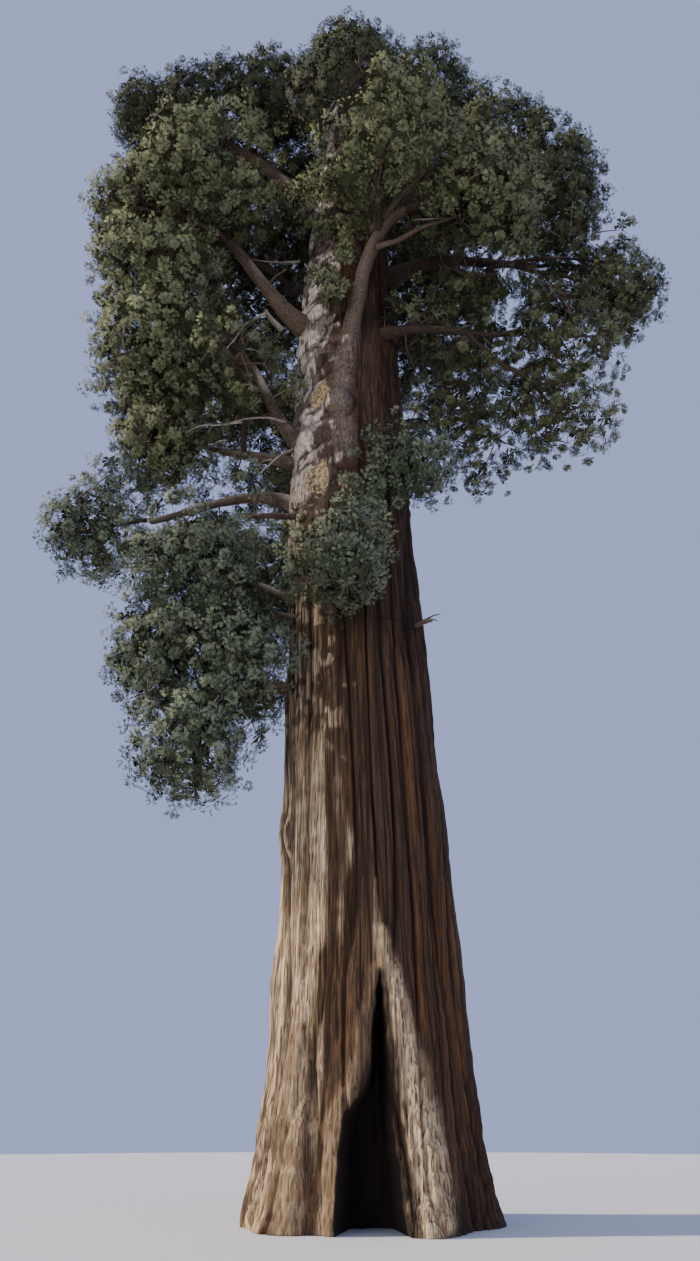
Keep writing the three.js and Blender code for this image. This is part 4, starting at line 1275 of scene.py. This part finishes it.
# Points that don't stand between the eye and a limb that shows.
def clearOfView(points):
    eye = np.array(view["at"])
    clear = np.ones(len(points), bool)
    for at, radius in showing:
        far = lengthOf(at - eye)
        ray = (at - eye) / far
        along = (points - eye) @ ray
        away = lengthOf(points - eye - along[:, None] * ray)
        clear &= (along > far) | (away > radius + foliage["openLimb"])
    return clear


def isWithin(points):
    low, high = (np.array(side) for side in cadBox)
    spare = foliage["overhang"] * (high - low)
    return ((points > low - spare) & (points < high + spare)).all(axis=1)


def turnedBy(points, angle):
    (x, y, z), cos, sin = points.T, np.cos(angle), np.sin(angle)
    return np.stack([x * cos - y * sin, x * sin + y * cos, z], axis=1)


# Copies of an even ball of directions round each centre, each turned its own way.
def sproutsOf(centres, count, seed):
    rows = np.repeat(np.arange(len(centres)), count)
    angle = 2 * np.pi * chance(rows * 0.77 + seed)
    tilt = 2 * np.pi * chance(rows * 0.53 + seed + 0.2)
    ball = turnedBy(np.tile(spreadOver(count, seed), (len(centres), 1)), angle)
    return rows, turnedBy(ball[:, [1, 2, 0]], tilt)


# Points round the valleys where a mass meets its neighbours, with the way out of each.
def bridgesOf(mass):
    places, ways = [], []
    nearest, third = foliage["bridgeClear"]
    sunk = foliage["bridgeSink"].get(mass.zone, foliage["bridgeSink"]["others"])
    for normal, distance in mass.walls:
        if normal[2] < 0:  # the neighbour below has this valley already
            continue
        mine = 1 / lengthOf(normal / mass.radii)
        ring = mass.radii.mean() * math.sqrt(max(0, 1 - (distance / mine) ** 2))
        count = int(2 * math.pi * ring / foliage["bridgeSpacing"])
        across = unit(np.cross(normal, (0.3, 0.5, 0.8)))
        for k in range(count):
            angle = 2 * math.pi * (k + float(chance(k + mass.seed))) / count
            way = across * math.cos(angle) + np.cross(normal, across) * math.sin(angle)
            at = mass.centre + normal * distance + way * (ring - sunk)
            depths = [lengthOf((at - other.centre) / other.radii) for other in masses]
            if min(depths) > nearest and sum(depth < third for depth in depths) <= 2:
                places.append(at)
                ways.append(way)
    return np.reshape(places, (-1, 3)), np.reshape(ways, (-1, 3))


def varied(kind, size, roll):
    spread = foliage["vary"][kind]
    return size * (1 - spread + 2 * spread * roll)


# The billows of a mass: middles, ways out, radii and how far they are sunk in.
def billowsOf(mass, missing):
    seed, size = mass.seed, mass.radii
    count = int(4 * np.pi * size[0] * size[2] / foliage["billowSpacing"] ** 2)
    outward = spreadOver(count, seed)
    reach = reachOf(mass, outward)
    radius = varied("billow", foliage["billowSize"], rollsOf(count, seed, 0.37))
    radius = np.minimum(radius, foliage["billowLimit"] * reach)
    sink = foliage["billowSink"] * rollsOf(count, seed * 2, 0.71)
    billows = mass.centre + outward * (reach * (foliage["billowOut"] - sink) - radius)[:, None]
    apart = reach > foliage["billowApart"] / lengthOf(outward / size)
    whole = rollsOf(count, seed * 11, 0.57) > foliage["openClumps"] * missing
    wanted = apart & whole & clearOfLimbs(billows, foliage["clear"][0])
    billows, outward, radius, sink = kept(wanted, billows, outward, radius, sink)
    bridges, ways = bridgesOf(mass)
    wanted = clearOfLimbs(bridges, foliage["clear"][0]) & (rollsOf(len(bridges), seed, 0.73) > missing)
    bridges, ways = kept(wanted, bridges, ways)
    wide = varied("bridge", foliage["bridgeSize"], rollsOf(len(bridges), seed, 0.19))
    shade = np.full(len(bridges), foliage["bridgeShade"])
    return joined(billows, bridges), joined(outward, ways), joined(radius, wide), joined(sink, shade)


# The tufts round the billows, with the painted light that deals out their needle colours.
def tuftsOf(mass, missing, billows, outward, radius, sink):
    seed = mass.seed
    rows, aside = sproutsOf(billows, foliage["tufts"], seed)
    roll = rollsOf(len(rows), seed * 5, 0.29)
    second = rollsOf(len(rows), seed * 7, 0.83)
    facing = np.sum(aside * outward[rows], axis=1)
    least, more = foliage["tuftOut"]
    at = billows[rows] + aside * (radius[rows] * (least + more * roll))[:, None]
    wanted = (facing > foliage["tuftBack"]) & (second > missing) & clearOfLimbs(at, foliage["clear"][1])
    wanted &= clearOfView(at) | (chance(second * 71) < foliage["stray"])
    rows, aside, at, roll, facing = kept(wanted, rows, aside, at, roll, facing)
    offBillow, offMass, upward = foliage["tuftWay"]
    way = unit(offBillow * aside + offMass * outward[rows] + (0, 0, upward))
    light = lighting["facing"] * facing + lighting["tuftUp"] * aside[:, 2]
    light += lighting["billowUp"] * outward[rows, 2] + lighting["chance"] * (chance(roll * 31) - 0.5)
    share, least = lighting["shade"]
    light -= lighting["deep"] * sink[rows] + share * (way @ lighting["shadeSide"] - least)
    light -= darker.get(mass.zone, 0) + darker.get(mass.name, 0)
    opener, smaller = foliage["tuftOpen"]
    size = varied("tuft", foliage["tuftSize"], chance(roll * 57)) * (smaller if missing > opener else 1)
    return SimpleNamespace(at=at, rows=rows, aside=aside, way=way, out=outward[rows], light=light, size=size)


# The sprays round the tufts: places, lengths, facings, colours dealt out by painted light, and normals.
def spraysOf(mass, tufts):
    seed = mass.seed
    longer, more = sprayScale.get(mass.name, sprayScale.get(mass.zone, (1, 1)))
    owner, spin = sproutsOf(tufts.at, int(foliage["sprays"] * more), seed + 3)
    roll = rollsOf(len(owner), seed * 3, 0.31)
    facing = np.sum(spin * tufts.way[owner], axis=1)
    least, byChance = foliage["sprayBack"]
    owner, spin, roll, facing = kept(facing > least + byChance * roll, owner, spin, roll, facing)
    short, tall = foliage["sprayLong"]
    length = (short + (tall - short) * roll) * longer
    sideways = unit(np.cross(spin, spreadOver(len(spin), seed + 2)))
    across, upward = foliage["sprayWay"]
    along = unit(spin + across * sideways + (0, 0, upward))
    least, byChance, outwards = foliage["sprayStand"]
    stand = least + byChance * chance(roll * 91.7) + outwards * np.maximum(0, facing)
    tips = tufts.at[owner] + spin * (tufts.size[owner] * stand)[:, None]
    owner, spin, roll, facing, length, along, tips = kept(
        isWithin(tips), owner, spin, roll, facing, length, along, tips)
    light = lighting["base"] + tufts.light[owner] + lighting["facing"] * facing
    light += lighting["sprayChance"] * (chance(roll * 13.1) - 0.5)
    bySpray, byTuft, byBillow = foliage["sprayNormal"]
    away = unit(bySpray * spin + byTuft * tufts.aside[owner] + byBillow * tufts.out[owner])
    shuffled = np.argsort(chance(np.arange(len(away)) * 0.7))
    facings = away + foliage["sprayTurn"] * spreadOver(len(away), seed + 7)[shuffled]
    starts = tips - along * (foliage["sprayIn"] * length)[:, None]
    return starts, along * length[:, None], facings, shadeOf(light), away


def shadeOf(light):
    return np.clip(np.rint(light), 0, 4).astype(int)


# Clumps inside the mass and its billows, dealt the darkest colour as painted shade, and one behind the sprays
# of each tuft, dealt a little darker than its tuft.
def clumpsOf(mass, missing, tufts, billows, radius):
    seed = mass.seed
    rows, aside = sproutsOf(billows, foliage["clumps"], seed + 4)
    deep = billows[rows] + aside * (radius[rows] * foliage["clumpOut"])[:, None]
    inward = spreadOver(foliage["innerClumps"], seed + 5)
    least, more = foliage["innerReach"]
    depth = reachOf(mass, inward) * (least + more * rollsOf(len(inward), seed, 0.43))
    deep = joined(deep, mass.centre + inward * depth[:, None])
    away = unit(joined(aside, inward))
    roll = rollsOf(len(deep), seed, 0.91)
    wanted = clearOfLimbs(deep, foliage["clear"][2]) & clearOfView(deep) & isWithin(deep)
    deep, away, roll = kept(wanted & (roll > foliage["clumpOpen"] * missing), deep, away, roll)
    low, high = foliage["clumpLong"]
    wide = joined(low + (high - low) * chance(roll * 17), foliage["coreSize"] * tufts.size)
    shade = joined(np.zeros(len(roll), int), shadeOf(tufts.light + lighting["clump"]))
    deep, away = joined(deep, tufts.at), joined(away, tufts.way)
    along = unit(np.cross(away, spreadOver(len(deep), seed + 9))) * wide[:, None]
    return deep - 0.5 * along, along, away, shade, away


# All that a mass carries, by the name of the piece that it is joined into.
def growMass(mass):
    missing = openMasses.get(mass.name, foliage["open"])
    billows, outward, radius, sink = billowsOf(mass, missing)
    arms = spreadOver(foliage["arms"], mass.seed)
    armEnds = mass.centre + arms * (reachOf(mass, arms) * foliage["armReach"])[:, None]
    bases = joined(armEnds, (armEnds + mass.centre) / 2)
    nearest = np.argmin(lengthOf(billows[:, None] - bases[None]), axis=1)
    twigs = [
        (np.broadcast_to(mass.centre, armEnds.shape), armEnds, foliage["armThick"]),
        (bases[nearest], billows, foliage["billowThick"]),
    ]
    own = outliers.get(mass.name, []) + sleeves.get(mass.name, [])
    if own:
        ends, sizes, springs = (np.array(part, float) for part in zip(*own))
        twigs.append((springs, ends, foliage["billowThick"]))
        billows, radius = joined(billows, ends), joined(radius, sizes)
        outward = joined(outward, unit(ends - springs))
        sink = joined(sink, np.full(len(own), lighting["ownShade"]))
    tufts = tuftsOf(mass, missing, billows, outward, radius, sink)
    return {
        "needles_": spraysOf(mass, tufts),
        "needles_deep_": clumpsOf(mass, missing, tufts, billows, radius),
        "twigs_": twigs,
        "twiglets_": [(billows[tufts.rows], tufts.at, foliage["tuftThick"])],
    }


# Small tufts along the boughs that show, by the mass that they grow with.
sleeves = {}
for row in crown:
    if row.bough not in leafy:
        continue
    first, last, count = leafy[row.bough]
    size, byChance, stand = foliage["sleeve"]
    steps = 60
    path = spaced([onAxis(row.leaves), *row.bends, hungFrom[row.placed[-1].name]], steps)
    for k, share in enumerate(np.linspace(first, last, count)):
        spring = path[round(share * steps)]
        way = unit(spreadOver(count, row.leaves)[k] + (0, 0.35, 0))
        radius = size + byChance * float(chance(k + row.leaves))
        tuft = (spring + way * (radius + stand), radius, spring)
        sleeves.setdefault(row.placed[0].name, []).append(tuft)

zones = {}
for mass in masses:
    zones.setdefault(mass.zone, []).append(mass)
leafForms = {"needles_": sprayForm(), "needles_deep_": clumpForm(8)}
woodForms = {"twigs_": (twigForm(5, 5), 0.05), "twiglets_": (twigletForm(), 0)}


def woodCopies(name, form, lift, starts, ends, thick):
    span = ends - starts
    wide = thick / lengthOf(span)
    aside = np.roll(span, 1, axis=1) + (0.1, 0.2, 0.3)
    bleached = (chance(starts @ (3.1, 5.3, 7.7)) < foliage["bleached"]).astype(int)
    frames = framesOf(span, aside, wide[:, None])
    return joinCopies(name, form, starts, frames, lift, [twigMaterial, deadMaterial], bleached)


for zone, members in zones.items():
    grown = [growMass(mass) for mass in members]
    kind = "low" if zone == "drape" else "high"
    nodes = ["foliage_" + mass.name for mass in members]
    counts = []
    for name, form in leafForms.items():
        places, alongs, facings, shades, normals = map(joined, *(parts[name] for parts in grown))
        frames = framesOf(alongs, facings, 1)
        leaves = joinCopies(name + zone, form, places, frames, 0, needles[kind], shades, normals)
        place(leaves, "needles_" + kind, *nodes)
        counts.append(len(leaves.data.polygons))
    for name, (form, lift) in woodForms.items():
        levels = [level for parts in grown for level in parts[name]]
        starts, ends = (joined(*(level[i] for level in levels)) for i in (0, 1))
        thick = joined(*(np.full(len(end), wide) for _, end, wide in levels))
        wood = woodCopies(name + zone, form, lift, starts, ends, thick)
        place(wood, "limb_wood", *nodes)
        counts.append(len(wood.data.polygons))
    print(zone, counts)

place(woodCopies("bare_barbs", woodForms["twigs_"][0], 0.06, *map(np.array, zip(*barbs))), "limb_wood")

# Each mass hangs on a stem from its bough or from the trunk.
for row in crown:
    base = row.tip * limbs["stemGirth"]
    for mass in row.placed:
        start, centre = hungFrom[mass.name], mass.centre
        middle = (start + centre) / 2 + (0, 0, limbs["stemRise"] * lengthOf(start - centre))
        # stems take the limb bark darkened as painted shade
        stem, _, _ = growLimb(
            "stem", "stem_" + mass.name, shadedMaterial, [start, middle, centre],
            base, base * limbs["stemEnd"], (mass.seed, mass.seed),
        )
        place(stem, "limb_wood", "foliage_" + mass.name)
print("stems", len(masses))

# A pale floor, a pale sky and soft light from the upper left.
studio = {
    "floorRadius": 45,
    "floor": "#dcdcda",
    "sky": "#b4c1f3",
    "skyStrength": 0.85,
    "lamps": {  # colour, strength, softness in degrees, where it comes from
        "sun": ("#fff1e0", 4.8, 3.5, (-0.95, -0.02, 0.6)),
        "fill": ("#fff6ea", 1.2, 35, (-0.62, -0.78, 0.1)),
    },
}
bm = bmesh.new()
bmesh.ops.create_circle(bm, cap_ends=True, segments=96, radius=studio["floorRadius"])
bmesh.ops.translate(bm, verts=bm.verts, vec=(0, 0, -0.004))
floor = finishMesh("floor", bm, newMaterial("matt studio floor", studio["floor"], 0.9))

world = bpy.data.worlds.new("pale sky")
world.use_nodes = True
sky = world.node_tree.nodes["Background"].inputs
sky["Color"].default_value = linear(studio["sky"])
sky["Strength"].default_value = studio["skyStrength"]
bpy.context.scene.world = world
for name, (colour, strength, softness, source) in studio["lamps"].items():
    light = bpy.data.lights.new(name, "SUN")
    light.energy = strength
    light.angle = math.radians(softness)
    light.color = linear(colour)[:3]
    lamp = addObject(name, light)
    lamp.rotation_euler = Vector(source).to_track_quat("Z", "Y").to_euler()

camera = bpy.data.cameras.new("camera")
camera.lens = view["lens"]
camera.sensor_width = 36
camera.clip_end = 500
eye = addObject("camera", camera)
eye.location = view["at"]
eye.rotation_euler = (math.radians(90 + view["tilt"]), 0, 0)
bpy.context.scene.camera = eye
